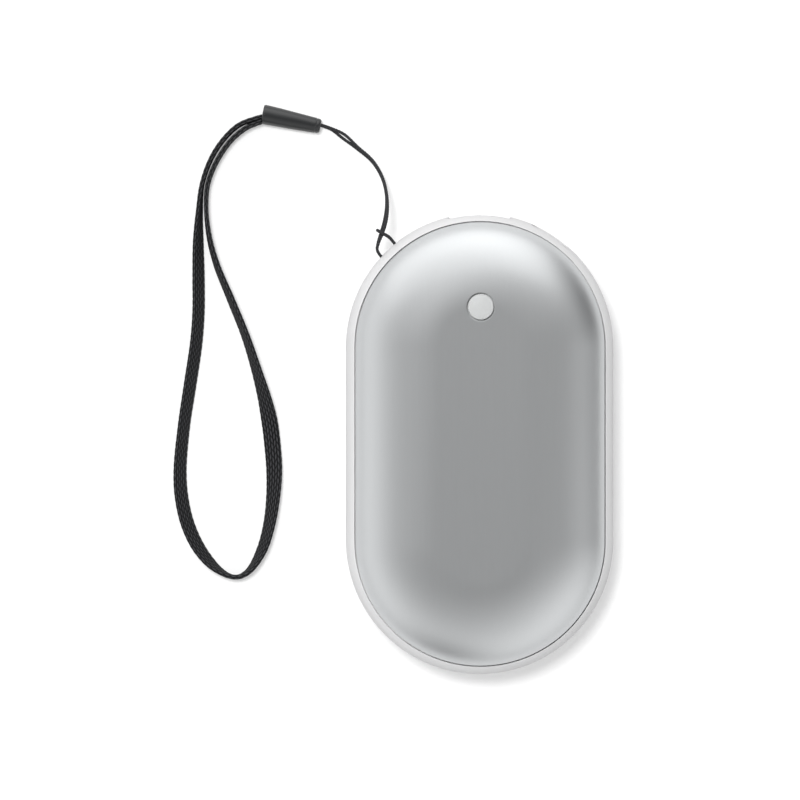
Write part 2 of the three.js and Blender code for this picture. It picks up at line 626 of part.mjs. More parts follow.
function addScrews() {
  const seat = -BOSS_DROP - 2 * FIT - TAB_THICKNESS;
  const corners = [[-1, 1], [1, 1], [-1, -1], [1, -1]];
  corners.forEach(([side, end], i) => {
    const screw = add(body, `chassis_screw_${i + 1}`, screwGeometry(), BRIGHT_STEEL);
    screw.position.set(side * BOSS_X, end * BOSS_SPACING, seat);
  });
  [-1, 1].forEach((side, i) => {
    const screw = add(body, `board_screw_${i + 1}`, screwGeometry(), BRIGHT_STEEL);
    screw.position.set(side * POST_X, POST_Y, PART_SEAT);
    screw.rotation.x = Math.PI;
  });
}

function boardGeometry() {
  const side = BOARD_START_Y - HALF_STRAIGHT;
  const start = Math.asin(side / BOARD_REACH);
  const outline = new THREE.Shape();
  outline.absarc(0, HALF_STRAIGHT, BOARD_REACH, start, Math.PI - start);
  const slab = { depth: BOARD_THICKNESS, bevelEnabled: false, curveSegments: 24 };
  const plate = new THREE.ExtrudeGeometry(outline, slab).translate(0, 0, BOARD_BOTTOM);
  const reach = [2 * LAND_RADIUS, WALL_REACH - 3 * FIT];
  const tongue = box([-USB_C_WIDTH / 2, USB_C_WIDTH / 2], reach, [BOARD_BOTTOM, BOARD_TOP]);
  const levels = [BOARD_BOTTOM - FIT, BOARD_TOP + FIT];
  const holes = [-1, 1].map((side) => bar(SCREW_RADIUS + FIT, [side * POST_X, POST_Y], levels, 12));
  return cut(join(plate, roundTheEnd(tongue, USB_C_DEGREES)), ...holes);
}

function addBoard() {
  const place = ([across, along]) => [BOARD_REACH * across, BUTTON_Y + BOARD_REACH * along];
  add(body, "main_board", boardGeometry(), BOARD_GREEN);
  const well = PLUNGER_RADIUS + FIT;
  const switchTop = PART_SEAT + SWITCH_HEIGHT;
  const wellBottom = switchTop - 2 * BUTTON_TRAVEL - FIT;
  const housing = block([SWITCH_SIZE, SWITCH_SIZE, SWITCH_HEIGHT], BUTTON_PLACE, PART_SEAT);
  const wellCut = bar(well, BUTTON_PLACE, [wellBottom, switchTop + CUT_OVERRUN], 20);
  add(body, "switch_body", cut(housing, wellCut), BLACK_PLASTIC);
  const plungerBottom = wellBottom + BUTTON_TRAVEL + FIT;
  const plunger = bar(PLUNGER_RADIUS, BUTTON_PLACE, [plungerBottom, switchTop + PLUNGER_PROUD], 20);
  add(body, "switch_plunger", plunger, GREY_PLASTIC);
  [["left", -1], ["right", 1]].forEach(([name, side]) => {
    const led = block(LED_SIZE, place([side * LED_SHARE, 0]), PART_SEAT);
    add(body, `button_led_${name}`, led, CLEAR_WHITE);
  });
  const outline = roundedShape(INDUCTOR_SIZE[0], INDUCTOR_SIZE[1], INDUCTOR_CORNER);
  const slab = { depth: INDUCTOR_SIZE[2], bevelEnabled: false, curveSegments: 3 };
  const core = new THREE.ExtrudeGeometry(outline, slab);
  const [inductorX, inductorY] = place(INDUCTOR_SHARES);
  add(body, "boost_inductor", core.translate(inductorX, inductorY, PART_SEAT), FOAM_GREY);
  add(body, "control_chip", block(CHIP_SIZE, place(CHIP_SHARES), PART_SEAT), BLACK_PLASTIC);
  add(body, "heater_mosfet", block(MOSFET_SIZE, place(MOSFET_SHARES), PART_SEAT), BLACK_PLASTIC);
  const can = bar(CAPACITOR_RADIUS, place(CAPACITOR_SHARES), [PART_SEAT, PART_SEAT + CAPACITOR_HEIGHT]);
  add(body, "filter_capacitor", can, BRIGHT_STEEL);
}

function addButton() {
  const capRadius = BUTTON_HOLE_DIAMETER / 2 - BUTTON_GAP;
  const flangeRadius = capRadius + BUTTON_FLANGE_REACH;
  const top = MID_HEIGHT + BUTTON_PROUD;
  const flangeTop = MID_HEIGHT - SHELL_WALL - BUTTON_FLANGE_DEPTH;
  const flangeBottom = flangeTop - BUTTON_FLANGE_THICKNESS;
  const stemBottom = PART_SEAT + SWITCH_HEIGHT + PLUNGER_PROUD + SEAT;
  const profile = [
    [0, stemBottom],
    [BUTTON_STEM_RADIUS, stemBottom],
    [BUTTON_STEM_RADIUS, flangeBottom],
    [flangeRadius, flangeBottom],
    [flangeRadius, flangeTop],
    [capRadius, flangeTop],
    ...BUTTON_CROWN_SHARES.map(([radius, drop]) => [capRadius * radius, top - BUTTON_CROWN * drop]),
  ];
  add(body, "button_cap", turned(profile, 28), CLEAR_WHITE).position.y = BUTTON_Y;
  const bore = flangeRadius + FIT;
  const outer = bore + LIP_THICKNESS;
  const guideTop = domeHeight(LAND_RADIUS + outer, SHELL_WALL) - FIT;
  const floorTop = flangeBottom - BUTTON_TRAVEL - FIT;
  const floorBottom = floorTop - LIP_THICKNESS;
  const collar = [
    [BUTTON_STEM_RADIUS + FIT, floorBottom],
    [outer, floorBottom],
    [outer, guideTop],
    [bore, guideTop],
    [bore, floorTop],
    [BUTTON_STEM_RADIUS + FIT, floorTop],
    [BUTTON_STEM_RADIUS + FIT, floorBottom],
  ];
  add(body, "button_guide", turned(collar, 24), BLACK_PLASTIC).position.y = BUTTON_Y;
}

// A socket drawn outwards along +Y round the end centre: a shell open in front, and a tongue on a block in it
function addSocket(name, size, front, degrees, height, tongue) {
  const socket = new THREE.Group();
  socket.position.set(0, HALF_STRAIGHT, height);
  socket.rotation.z = THREE.MathUtils.degToRad(-degrees);
  body.add(socket);
  const { width, tall, depth, corner } = size;
  const inner = corner - SOCKET_WALL;
  const outside = alongY(roundedShape(width, tall, corner), front, depth);
  const hollow = roundedShape(width - 2 * SOCKET_WALL, tall - 2 * SOCKET_WALL, inner);
  const inside = alongY(hollow, front + SOCKET_WALL, depth);
  add(socket, `${name}_shell`, cut(outside, inside), BRIGHT_STEEL);
  const spare = 2 * (SOCKET_WALL + FIT);
  const back = front - depth + SOCKET_WALL + FIT;
  const filling = roundedShape(width - spare, tall - spare, inner - FIT);
  const plug = alongY(filling, back + tongue.block, tongue.block);
  const levels = [tongue.low, tongue.low + tongue.thick];
  const half = width / 2 - tongue.side;
  const plate = box([-half, half], [back, front - tongue.recess], levels);
  add(socket, `${name}_tongue`, join(plug, plate), BLACK_PLASTIC);
}

function addSockets() {
  const wide = { width: USB_A_WIDTH, tall: USB_A_HEIGHT, depth: USB_A_DEPTH, corner: USB_A_CORNER };
  const slim = { width: USB_C_WIDTH, tall: USB_C_HEIGHT, depth: USB_C_DEPTH, corner: USB_C_HEIGHT / 2 };
  addSocket("usb_a", wide, USB_A_FRONT, 0, USB_A_LEVEL, USB_A_TONGUE);
  addSocket("usb_c", slim, USB_C_FRONT, USB_C_DEGREES, USB_C_LEVEL, USB_C_TONGUE);
}

// A round tube of eight sides along a list of points
function tube(points, diameter, steps) {
  const path = new THREE.CatmullRomCurve3(points.map((point) => new THREE.Vector3(...point)));
  const section = new THREE.Shape();
  section.absarc(0, 0, diameter / 2, 0, Math.PI * 2);
  return new THREE.ExtrudeGeometry(section, { extrudePath: path, steps, curveSegments: 4 });
}

// Routes of the leads inside the body, each stretch measured from what it starts from, follows or ends at
const POSITIVE_END = [[5, 0.8, -1.45], [5, 1.4, -2.05], [5, 2.4, -1.95], [5, 2.8, -1.25], [5, 2.9, -0.65]];
const NEGATIVE_START = [[0, -1.2, -8.6], [0, -1.5, -6.6], [0, -0.8, -3.8], [0, 1.4, -2], [0, 8.4, -1.6]];
const NEGATIVE_RUN = [[0, -26.6, -1.6], [0, -6.6, -1.6], [0, -2, -1.8]];
const NEGATIVE_END = [[0, -0.9, 2.45], [-1.4, -0.5, 1.25]];
const FRONT_START = [[-7.5, 0.6, -1.5], [-7.5, 2.6, -1.8], [-7.5, 4.8, -2.9]];
const FRONT_END = [[-7.5, 1.1, 4.25], [-7.5, 1.9, 1.85], [-7.5, 2.1, 0.75]];
const REAR_START = [[7.3, 0.6, 3.3], [6.1, 3, 3.6], [5, 5.6, 5.5]];
const REAR_END = [[4.5, 1.9, -6.95], [4.5, 2.5, -2.95], [4.5, 2.7, -0.75]];

function stretch([x, y, z], points) {
  return points.map(([across, along, up]) => [x + across, y + along, z + up]);
}

function addLeads() {
  const onBoard = [0, BOARD_START_Y, BOARD_TOP];
  const positive = stretch([0, BOARD_START_Y, BOARD_BOTTOM], POSITIVE_END);
  const negative = [
    ...stretch([0, CELL_BASE_Y, CELL_RADIUS], NEGATIVE_START),
    ...stretch([0, CELL_TOP_Y, CELL_RADIUS], NEGATIVE_RUN),
    ...stretch(onBoard, NEGATIVE_END),
  ];
  const front = [...stretch([0, FILM_END_Y, MID_HEIGHT], FRONT_START), ...stretch(onBoard, FRONT_END)];
  const rear = [
    ...stretch([-BOARD_REACH, FILM_END_Y, -MID_HEIGHT], REAR_START),
    ...stretch([-BOARD_REACH, BOARD_START_Y, BOARD_BOTTOM], REAR_END),
  ];
  add(body, "battery_lead_positive", tube(positive, LEAD_DIAMETER, 6), RED_LEAD);
  add(body, "battery_lead_negative", tube(negative, LEAD_DIAMETER, 22), BLACK_LEAD);
  add(body, "heater_lead_front", tube(front, LEAD_DIAMETER, 9), RED_LEAD);
  add(body, "heater_lead_rear", tube(rear, LEAD_DIAMETER, 10), RED_LEAD);
}

// Strap routes, measured from the floor. The string's two strands run together from the sleeve to the eye, and
// each point has the roll of the line between them: 0 side by side, 90 one above the other.
const PAIR_ROUTE = [
  [-35.93, 72.35, 1.65, 85], [-33.5, 71.5, 1.1, 80], [-30.8, 69.9, 0.6, 25], [-27.8, 67.4, 0.85, 66],
  [-24.2, 64.2, 1.8, 77], [-22, 60.5, 4.2, 82], [-21, 56.8, 7.4, 83], [-20.8, 53.2, 10.6, 72],
  [-21.2, 50, 12.8, 62], [-21.95, 47.3, 13.5, 65], [-22.7, 45.2, 13.5, 80], [-22.95, 43.4, 13.5, 90],
];
const BIGHT_ROUTE = [
  [-19.7, 45.7, 14.2], [-20.5, 46.5, 14.8], [-21.95, 47.3, 15], [-22.75, 47.8, 14.6],
  [-22.95, 47.9, 13.5], [-22.75, 47.8, 12.4], [-21.95, 47.3, 12], [-20.5, 46.5, 12.2], [-19.7, 45.7, 12.8],
];
const STRAND_OFFSET = 0.5;
const TUNNEL_REACH = 2.1;
const TUNNEL_DEGREES = [30, 90, 150];

// One strand of the pair, on the upper or left side (1) or the lower or right side (-1)
function strand(side) {
  const last = PAIR_ROUTE.length - 1;
  return PAIR_ROUTE.map(([x, y, z, roll], i) => {
    const before = PAIR_ROUTE[Math.max(i - 1, 0)];
    const after = PAIR_ROUTE[Math.min(i + 1, last)];
    const heading = Math.atan2(after[1] - before[1], after[0] - before[0]);
    const angle = THREE.MathUtils.degToRad(roll);
    const aside = side * STRAND_OFFSET * Math.cos(angle);
    const up = side * STRAND_OFFSET * Math.sin(angle);
    return [x - aside * Math.sin(heading), y + aside * Math.cos(heading), z + up];
  });
}

// The stretch behind the eye's bridge, from the left hole to the right one
function tunnel(side) {
  const [x, y] = eyePlace(END_RADIUS);
  const facing = THREE.MathUtils.degToRad(EYE_DEGREES + 90);
  return TUNNEL_DEGREES.map((degrees) => {
    const angle = facing + THREE.MathUtils.degToRad(degrees);
    const height = MID_HEIGHT + side * STRAND_OFFSET;
    return [x + TUNNEL_REACH * Math.cos(angle), y + TUNNEL_REACH * Math.sin(angle), height];
  });
}

function addString() {
  const there = [...strand(1), ...tunnel(1)];
  const back = [...strand(-1), ...tunnel(-1)].reverse();
  add(root, "lanyard_string", tube([...there, ...BIGHT_ROUTE, ...back], STRING_DIAMETER, 72), BLACK_CORD);
}

// The sleeve lies on the floor between the band's ends and the string's, and tapers towards the string
const SLEEVE_START = [-48.7, 74.7];
const SLEEVE_END = [-36.3, 72.1];
const SLEEVE_BULGE_SHARES = [[0, 1], [0.35, 0.935], [0.7, 0.845], [0.93, 0.767]];

function addSleeve() {
  const start = new THREE.Vector3(...SLEEVE_START, SLEEVE_WIDE_RADIUS + FLOOR_GAP);
  const end = new THREE.Vector3(...SLEEVE_END, SLEEVE_NARROW_RADIUS + SLEEVE_BOW);
  const length = start.distanceTo(end);
  const profile = [[0, 0], [SLEEVE_WIDE_RADIUS - SLEEVE_EDGE, 0]];
  for (const [lengthShare, radiusShare] of SLEEVE_BULGE_SHARES) {
    profile.push([SLEEVE_WIDE_RADIUS * radiusShare, Math.max(SLEEVE_EDGE, length * lengthShare)]);
  }
  profile.push([SLEEVE_NARROW_RADIUS - SLEEVE_EDGE, length], [0, length]);
  const sleeve = add(root, "lanyard_ferrule", turned(profile, 20), BLACK_SLEEVE);
  sleeve.position.copy(start);
  sleeve.quaternion.setFromUnitVectors(new THREE.Vector3(0, 0, 1), end.clone().sub(start).normalize());
}

// The band route as [x, y, lean]: 90 stands on edge, and a smaller lean has the outer edge raised from flat
const BAND_ROUTE = [
  [-49.13, 74.2, 90], [-50.3, 73.9, 90], [-54.75, 71.95, 90], [-59.6, 66.55, 90], [-62.6, 59.4, 90],
  [-63.5, 52.5, 78], [-63.9, 45.8, 66], [-63.7, 38, 60], [-63.7, 30, 60], [-64.2, 23, 59],
  [-65.6, 13.4, 58], [-67, 4, 60], [-67.9, -6.1, 56], [-67.6, -12, 53], [-66.3, -18, 52],
  [-64, -23.2, 56], [-61, -27.2, 67], [-58.3, -29.4, 80], [-56, -30.4, 90], [-54.2, -30.3, 87],
  [-52, -28.8, 76], [-49.3, -24.3, 64], [-47.6, -18.5, 57], [-46.7, -12, 46], [-46.5, -6, 28],
  [-46.9, -0.5, 15], [-47.5, 4.5, 18], [-48.5, 9.5, 44], [-50.3, 16, 62], [-53, 24.4, 71],
  [-56.3, 32.6, 73], [-59.6, 40.7, 79], [-61.1, 47.2, 82], [-61.95, 54, 88], [-61.5, 59.1, 90],
  [-59.4, 64.3, 90], [-56.1, 69, 90], [-52.7, 71.75, 90], [-50.72, 72.6, 90], [-49.38, 73.08, 90],
];
const BAND_STATIONS = 72;

// The band's curve turns its section with the lean, and lies on the floor all the way
class BandCurve extends THREE.CatmullRomCurve3 {
  constructor(route) {
    const rise = (lean) => {
      const angle = THREE.MathUtils.degToRad(lean);
      return FLOOR_GAP + (BAND_WIDTH * Math.sin(angle) + BAND_THICKNESS * Math.cos(angle)) / 2;
    };
    super(route.map(([x, y, lean]) => new THREE.Vector3(x, y, rise(lean))));
    this.leans = new THREE.CatmullRomCurve3(route.map(([, , lean]) => new THREE.Vector3(lean, 0, 0)));
  }
  computeFrenetFrames(segments) {
    const frames = { tangents: [], normals: [], binormals: [] };
    const up = new THREE.Vector3(0, 0, 1);
    for (let i = 0; i <= segments; i++) {
      const share = this.getUtoTmapping(i / segments);
      const tangent = this.getTangent(share).setZ(0).normalize();
      const outward = tangent.clone().cross(up);
      const lean = THREE.MathUtils.degToRad(Math.min(this.leans.getPoint(share).x, 90));
      const across = outward.clone().multiplyScalar(Math.cos(lean)).addScaledVector(up, Math.sin(lean));
      frames.tangents.push(tangent);
      frames.normals.push(across);
      frames.binormals.push(tangent.clone().cross(across));
    }
    return frames;
  }
}

function addBand() {
  const [x, y] = [BAND_WIDTH / 2, BAND_THICKNESS / 2];
  const section = new THREE.Shape();
  section.moveTo(-x, BAND_CHAMFER - y);
  section.lineTo(BAND_CHAMFER - x, -y);
  section.lineTo(x - BAND_CHAMFER, -y);
  section.lineTo(x, BAND_CHAMFER - y);
  section.lineTo(x, y - BAND_CHAMFER);
  section.lineTo(x - BAND_CHAMFER, y);
  section.lineTo(BAND_CHAMFER - x, y);
  section.lineTo(-x, y - BAND_CHAMFER);
  const path = new BandCurve(BAND_ROUTE);
  const band = new THREE.ExtrudeGeometry(section, { extrudePath: path, steps: BAND_STATIONS });
  add(root, "wrist_band", band, BLACK_CORD);
}

addShells();
addFrame();
addCarriers();
addHeaters();
addCells();
addChassis();
addScrews();
addBoard();
addButton();
addSockets();
addLeads();
addString();
addSleeve();
addBand();

export default root;
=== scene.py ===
# A rechargeable hand warmer with its wrist strap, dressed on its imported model. Metres, with +Z up.
import json
import math

import bmesh
import bpy
import numpy as np
from bpy.props import FloatProperty, FloatVectorProperty, PointerProperty
from bpy.types import Operator, Panel, PropertyGroup
from mathutils import Matrix, Vector


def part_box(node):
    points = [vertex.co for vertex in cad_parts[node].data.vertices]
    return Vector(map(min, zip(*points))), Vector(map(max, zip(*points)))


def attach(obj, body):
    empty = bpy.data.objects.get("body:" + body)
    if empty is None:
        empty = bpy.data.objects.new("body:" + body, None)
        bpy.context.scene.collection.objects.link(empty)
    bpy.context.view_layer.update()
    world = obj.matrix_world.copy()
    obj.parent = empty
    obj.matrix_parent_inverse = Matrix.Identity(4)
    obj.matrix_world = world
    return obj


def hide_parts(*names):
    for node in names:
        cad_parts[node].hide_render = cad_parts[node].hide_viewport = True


bl_info = {
    "name": "Pocket Hand Warmer",
    "version": (1, 0, 0),
    "blender": (4, 5, 0),
    "location": "View3D > Sidebar > Hand Warmer",
    "description": "Builds a rechargeable hand warmer and its wrist strap on the packed model",
    "category": "Add Mesh",
}

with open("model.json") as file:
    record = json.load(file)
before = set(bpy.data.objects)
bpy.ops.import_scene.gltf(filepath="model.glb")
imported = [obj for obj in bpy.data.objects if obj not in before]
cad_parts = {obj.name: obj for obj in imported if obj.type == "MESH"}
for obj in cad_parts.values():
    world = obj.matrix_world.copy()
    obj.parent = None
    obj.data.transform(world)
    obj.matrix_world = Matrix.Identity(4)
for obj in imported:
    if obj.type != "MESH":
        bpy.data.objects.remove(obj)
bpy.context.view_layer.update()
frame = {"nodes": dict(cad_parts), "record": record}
NODES = frame["nodes"]
MM = 0.001
# Points this close are one, and edges over this angle stay sharp: on the pieces, and on the strap
MERGE_DISTANCE = 0.001 * MM
SHARP_DEGREES = 40
STRAP_SHARP_DEGREES = 60

# Sizes of the body, read from the frame. The mid-plane is at MID_HEIGHT, and each end is an arc.
RIM_LOW, RIM_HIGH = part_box("middle_frame")
END_RADIUS = RIM_HIGH.x
HALF_STRAIGHT = -RIM_LOW.y - END_RADIUS
MID_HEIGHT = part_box("front_shell")[1].z / 2
CAP_LOW, CAP_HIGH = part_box("button_cap")
BUTTON_CENTRE = ((CAP_LOW + CAP_HIGH) / 2).to_2d()

# The body's section is a flat land with a quarter ellipse beside it. The rim's lip centres the shells, and
# its groove is the dark seam.
LAND_RADIUS = 9 * MM
FRAME_WALL = 2.2 * MM
FIT = 0.2 * MM
LIP_HEIGHT = 1.72 * MM
LIP_THICKNESS = 1 * MM
GROOVE_WIDTH = 0.4 * MM
GROOVE_DEPTH = 1.5 * MM
GROOVE_WALL = 0.8 * MM
FINE_EDGE = 0.05 * MM
GROOVE_LEDGE = FINE_EDGE / 6
# Places round each end and along each side, then rows over the shells, outside and inside, and up the rim
END_STATIONS = 72
SIDE_STATIONS = 36
FRONT_ROWS = (72, 24)
REAR_STEPS = (36, 16)
RIM_STEPS = 10
# Steps round a quarter of a rounded bar's section, and of the USB-C window's
ARC_STEPS = 8
USB_C_ARC_STEPS = 12
# The button hole's edge, rows beside it as shares of the way out, how closely the others crowd outwards, and
# the places round a corner
HOLE_EDGE_DEGREES = (0, 30, 60, 90)
HOLE_ROW_SHARES = (0.002, 0.006)
EDGE_CROWDING = 1.35
CORNER_SHARES = (0.25, 0.5, 0.75, 1)

# Lanyard eye: its place round the end, and the steps round its path and its bore
EYE_DEGREES = 133.5
EYE_PITCH_RADIUS = 2.5 * MM
EYE_BORE_RADIUS = 1.3 * MM
EYE_WALL = 1 * MM
BOSS_DEPTH = 0.55 * MM
EYE_STEPS = (48, 24)

# Button
BUTTON_FLANGE_DROP = 0.5 * MM
BUTTON_FLANGE_THICKNESS = 1 * MM
BUTTON_STEM_RADIUS = 1.6 * MM
BUTTON_CROWN = 0.32 * MM
BUTTON_SHOULDER = 0.15 * MM
BUTTON_SHOULDER_DEGREES = (0, 18, 36, 54, 72, 90)
BUTTON_CROWN_SHARES = (0.85, 0.7, 0.55, 0.4, 0.25, 0.12, 0)
BUTTON_COLUMNS = 96

# Sockets
USB_A_WIDTH = 13.1 * MM
USB_A_HEIGHT = 5.7 * MM
USB_C_WIDTH = 8.94 * MM
USB_C_HEIGHT = 3.16 * MM
USB_C_DEGREES = 33
WINDOW_GAP = 0.3 * MM
WINDOW_FLAT = 0.01 * MM
SOCKET_WALL = 0.3 * MM
# Contacts and springs: width, length, thickness and bend
USB_A_CONTACT = (1.1 * MM, 7.4 * MM, 0.08 * MM, 0)
USB_A_SPRING = (2.1 * MM, 6.5 * MM, 0.12 * MM, 0.55 * MM)
USB_C_CONTACT = (0.26 * MM, 3.4 * MM, 0.05 * MM, 0)
# Their places across the socket, how far back they start and how high they lie
USB_A_CONTACT_PLACES = (-3.5 * MM, -1 * MM, 1 * MM, 3.5 * MM)
USB_A_CONTACT_SETBACK = 0.5 * MM
USB_A_CONTACT_LIFT = 0.17 * MM
USB_A_SPRING_PLACES = (-3 * MM, 3 * MM)
USB_A_SPRING_SETBACK = 1.2 * MM
USB_A_SPRING_LIFT = 0.08 * MM
USB_C_COLUMNS = 12
USB_C_PITCH = 0.5 * MM
USB_C_CONTACT_SETBACK = 1.9 * MM
USB_C_CONTACT_LIFT = 0.36 * MM
# A bar's chamfered section in half widths and half thicknesses, its steps, where its bend ends and its taper
BAR_SECTION_SHARES = (
    (-1, -0.6), (-0.85, -1), (0.85, -1), (1, -0.6), (1, 0.6), (0.85, 1), (-0.85, 1), (-1, 0.6),
)
BAR_STEPS = 12
BAR_BEND_SHARE = 1 / 1.15
BAR_TIP_SHARE = 0.1
BAR_TAPER_SHARE = 0.25

# The string's route in millimetres: x, y, z, and the roll in degrees of the line between its two strands. The
# bight is the loop that it is hitched with, and the tunnel the way through the eye, behind its bridge.
PAIR_ROUTE = [
    (-35.93, 72.35, 1.65, 85), (-33.5, 71.5, 1.1, 80), (-30.8, 69.9, 0.6, 25), (-27.8, 67.4, 0.85, 66),
    (-24.2, 64.2, 1.8, 77), (-22, 60.5, 4.2, 82), (-21, 56.8, 7.4, 83), (-20.8, 53.2, 10.6, 72),
    (-21.2, 50, 12.8, 62), (-21.95, 47.3, 13.5, 65), (-22.7, 45.2, 13.5, 80), (-22.95, 43.4, 13.5, 90),
]
BIGHT_ROUTE = [
    (-19.7, 45.7, 14.2), (-20.5, 46.5, 14.8), (-21.95, 47.3, 15), (-22.75, 47.8, 14.6),
    (-22.95, 47.9, 13.5), (-22.75, 47.8, 12.4), (-21.95, 47.3, 12), (-20.5, 46.5, 12.2), (-19.7, 45.7, 12.8),
]
STRAND_OFFSET = 0.5
TUNNEL_REACH = 2.1
TUNNEL_DEGREES = (30, 90, 150)
STRING_DIAMETER = 0.7 * MM
STRING_SIDES = 18
STRING_STEP = 0.2 * MM
STRING_YARNS = 3
YARN_HOLLOW_SHARE = 0.14

# The sleeve between the string and the band, whose shape is given by shares of its length and radius
SLEEVE_START = Vector((-48.7, 74.7, 2.27)) * MM
SLEEVE_END = Vector((-36.3, 72.1, 1.82)) * MM
SLEEVE_RADIUS = 2.25 * MM
SLEEVE_BULGE_SHARES = [
    (-0.005, 0.5), (-0.03, 0.66), (-0.036, 0.82), (-0.03, 0.94), (-0.012, 0.99), (0.02, 1), (0.18, 0.973),
    (0.35, 0.935), (0.52, 0.893), (0.7, 0.845), (0.85, 0.8), (0.93, 0.775), (0.948, 0.73),
    (0.966, 0.75), (0.99, 0.735), (1.012, 0.68), (1.026, 0.59), (1.03, 0.5), (1.02, 0.41), (1, 0.36),
]
SLEEVE_STEPS = 4
SLEEVE_SIDES = 48
# How uneven the soft sleeve is, and how often round it and along it
SLEEVE_WAVER_SHARE = 0.012
SLEEVE_WAVES = (3, 7)

# The band's route in millimetres: x, y, and its lean in degrees, where 90 stands on edge
BAND_ROUTE = [
    (-49.13, 74.2, 90), (-50.3, 73.9, 90), (-54.85, 72.06, 90), (-59.72, 66.63, 90), (-62.72, 59.44, 90),
    (-63.5, 52.5, 78), (-63.75, 45.8, 62), (-63.7, 38, 54), (-63.7, 30, 54), (-64.2, 23, 53),
    (-65.6, 13.4, 52), (-67, 4, 54), (-67.9, -6.1, 50), (-67.6, -12, 47), (-66.3, -18, 46),
    (-64, -23.2, 50), (-61, -27.2, 63), (-58.3, -29.4, 80), (-56, -30.4, 90), (-54.2, -30.3, 87),
    (-52, -28.8, 76), (-49.3, -24.3, 58), (-47.6, -18.5, 50), (-46.7, -12, 38), (-46.5, -6, 20),
    (-46.9, -0.5, 10), (-47.5, 4.5, 14), (-48.5, 9.5, 38), (-50.3, 16, 57), (-53, 24.4, 67),
    (-56.3, 32.6, 70), (-59.6, 40.7, 76), (-61.3, 47.2, 82), (-61.95, 54, 88), (-61.5, 59.1, 90),
    (-59.4, 64.3, 90), (-56.1, 69, 90), (-52.7, 71.75, 90), (-50.72, 72.6, 90), (-49.38, 73.08, 90),
]
BAND_WIDTH = 3.8 * MM
BAND_THICKNESS = 1.05 * MM
BAND_SIDES = 72
BAND_STEP = 0.22 * MM
# The powers of sine and cosine that round the band's section, across it and through it, and its fine steps
BAND_SECTION_POWERS = (0.36, 0.5)
BAND_SECTION_STEPS = 400
# The braid: width of a column of stitches, length of a stitch, its slant and how far it stands out
BRAID_COLUMN = 0.64 * MM
BRAID_STITCH = 1.55 * MM
BRAID_SLANT = 0.55
BRAID_RELIEF = 0.07 * MM
STRING_COLUMN = 0.3 * MM
STRING_STITCH = 0.9 * MM
# How narrow its pale crests are and how dark its furrows are, both painted shade in the colour, and its fuzz:
# height, and darkest and palest tone
BRAID_CREST = 1.7
BAND_FURROW_SHADE = 0.95
STRING_FURROW_SHADE = 0.6
FUZZ_HEIGHT = 0.3
FUZZ_TONES = (0.6, 1.4)
FUZZ_SCALE = 5000.0
FLOOR_GAP = 0.02 * MM

# Clouds: their scale, and their share beside the fine grain. Drawn lines: their stretch, and their share
# beside wide bands, whose density is a share of theirs
CLOUD_SCALE = 90.0
CLOUD_SHARE = 0.6
LINE_STRETCH = 0.03
LINES_SHARE = 0.55
BANDS_DENSITY_SHARE = 0.16

# Camera, looking straight down
CAMERA_PLACE = Vector((-17.87, 9.81, 913.5)) * MM
CAMERA_LENS = 180.4
CAMERA_CLIP = (0.05, 20)

# Lamps: name, place and size in metres, power in watts, and whether it is the mirrored one. Each faces the
# warmer. The large one shows only in reflections, and the small one gives the shadows.
LAMPS = [
    ("end_softbox", (-0.15, 1.26, 0.82), (3.0, 1.5), 3.4, True),
    ("key_lamp", (-0.2, 0.25, 1.36), (0.26, 0.26), 12.5, False),
]
# The room's light by height: 0 is the horizon and 1 is overhead
ROOM_STOPS = [(0, 0.66), (0.25, 0.88), (0.5, 0.78), (0.75, 0.52), (0.92, 0.32), (1, 0.18)]
# Soft cards that darken or lighten the room: the way to each, its narrowness and its change
ROOM_CARDS = [
    ((0.92, 0.35, 0.15), 5.6, -0.85),
    ((-0.28, -0.95, 0.15), 14.7, -0.64),
    ((0.59, 0.04, 0.8), 9.6, -0.61),
    ((0.12, 0.85, 0.51), 4.5, 0.44),
    ((0.48, 0.02, 0.88), 5.7, 1.01),
    ((-0.19, 0.24, 0.95), 24.5, 1.04),
]
# The floor: reach, drop below the warmer, grey, and how much it is lifted to white for the camera, near the
# warmer and far from it, and in mirrored light
FLOOR_REACH = 3
FLOOR_DROP = 0.03 * MM
FLOOR_GREY = 0.66
FLOOR_LIFT = (0.35, 0.75)
FLOOR_LIFT_REACH = (0.15, 0.6)
MIRRORED_LIFT = 0.02
# The factor and the two colours of a mix node, and its result: its other kinds have the same names
MIX_INPUTS, MIX_OUTPUT = (0, 6, 7), 2


def size_setting(name, description, millimetres):
    return FloatProperty(name=name, description=description, default=millimetres * MM, unit="LENGTH")


def colour_setting(name, description, default):
    return FloatVectorProperty(
        name=name, description=description, default=default, subtype="COLOR", min=0, max=1
    )


class HandWarmerSizes(PropertyGroup):
    """Sizes that a user may change"""

    shell_wall: size_setting("Shell Wall", "Thickness of the aluminium shells", 0.8)
    rim_width: size_setting("Rim Width", "Width of the rim seen from the front", 1.9)
    seam_gap: size_setting("Seam Gap", "Gap between a shell and the rim", 0.44)
    edge_round: size_setting("Edge Round", "Rounding of the shells' edges", 0.12)
    hole_diameter: size_setting("Button Hole", "Diameter of the hole for the button", 6.3)
    button_gap: size_setting("Button Gap", "Gap round the button cap", 0.34)
    string_twist: size_setting("String Twist", "Length of one turn of the string's yarns", 2.1)


class HandWarmerColours(PropertyGroup):
    """Colours that a user may change"""

    aluminium: colour_setting("Aluminium", "Colour of the shells", (0.77, 0.787, 0.797))
    rim: colour_setting("Rim", "Colour of the plastic rim", (0.745, 0.745, 0.75))
    button: colour_setting("Button", "Colour of the button cap", (0.54, 0.55, 0.55))
    strap: colour_setting("Strap", "Colour of the string and band", (0.058, 0.059, 0.063))
    sleeve: colour_setting("Sleeve", "Colour of the strap's sleeve", (0.004, 0.005, 0.006))


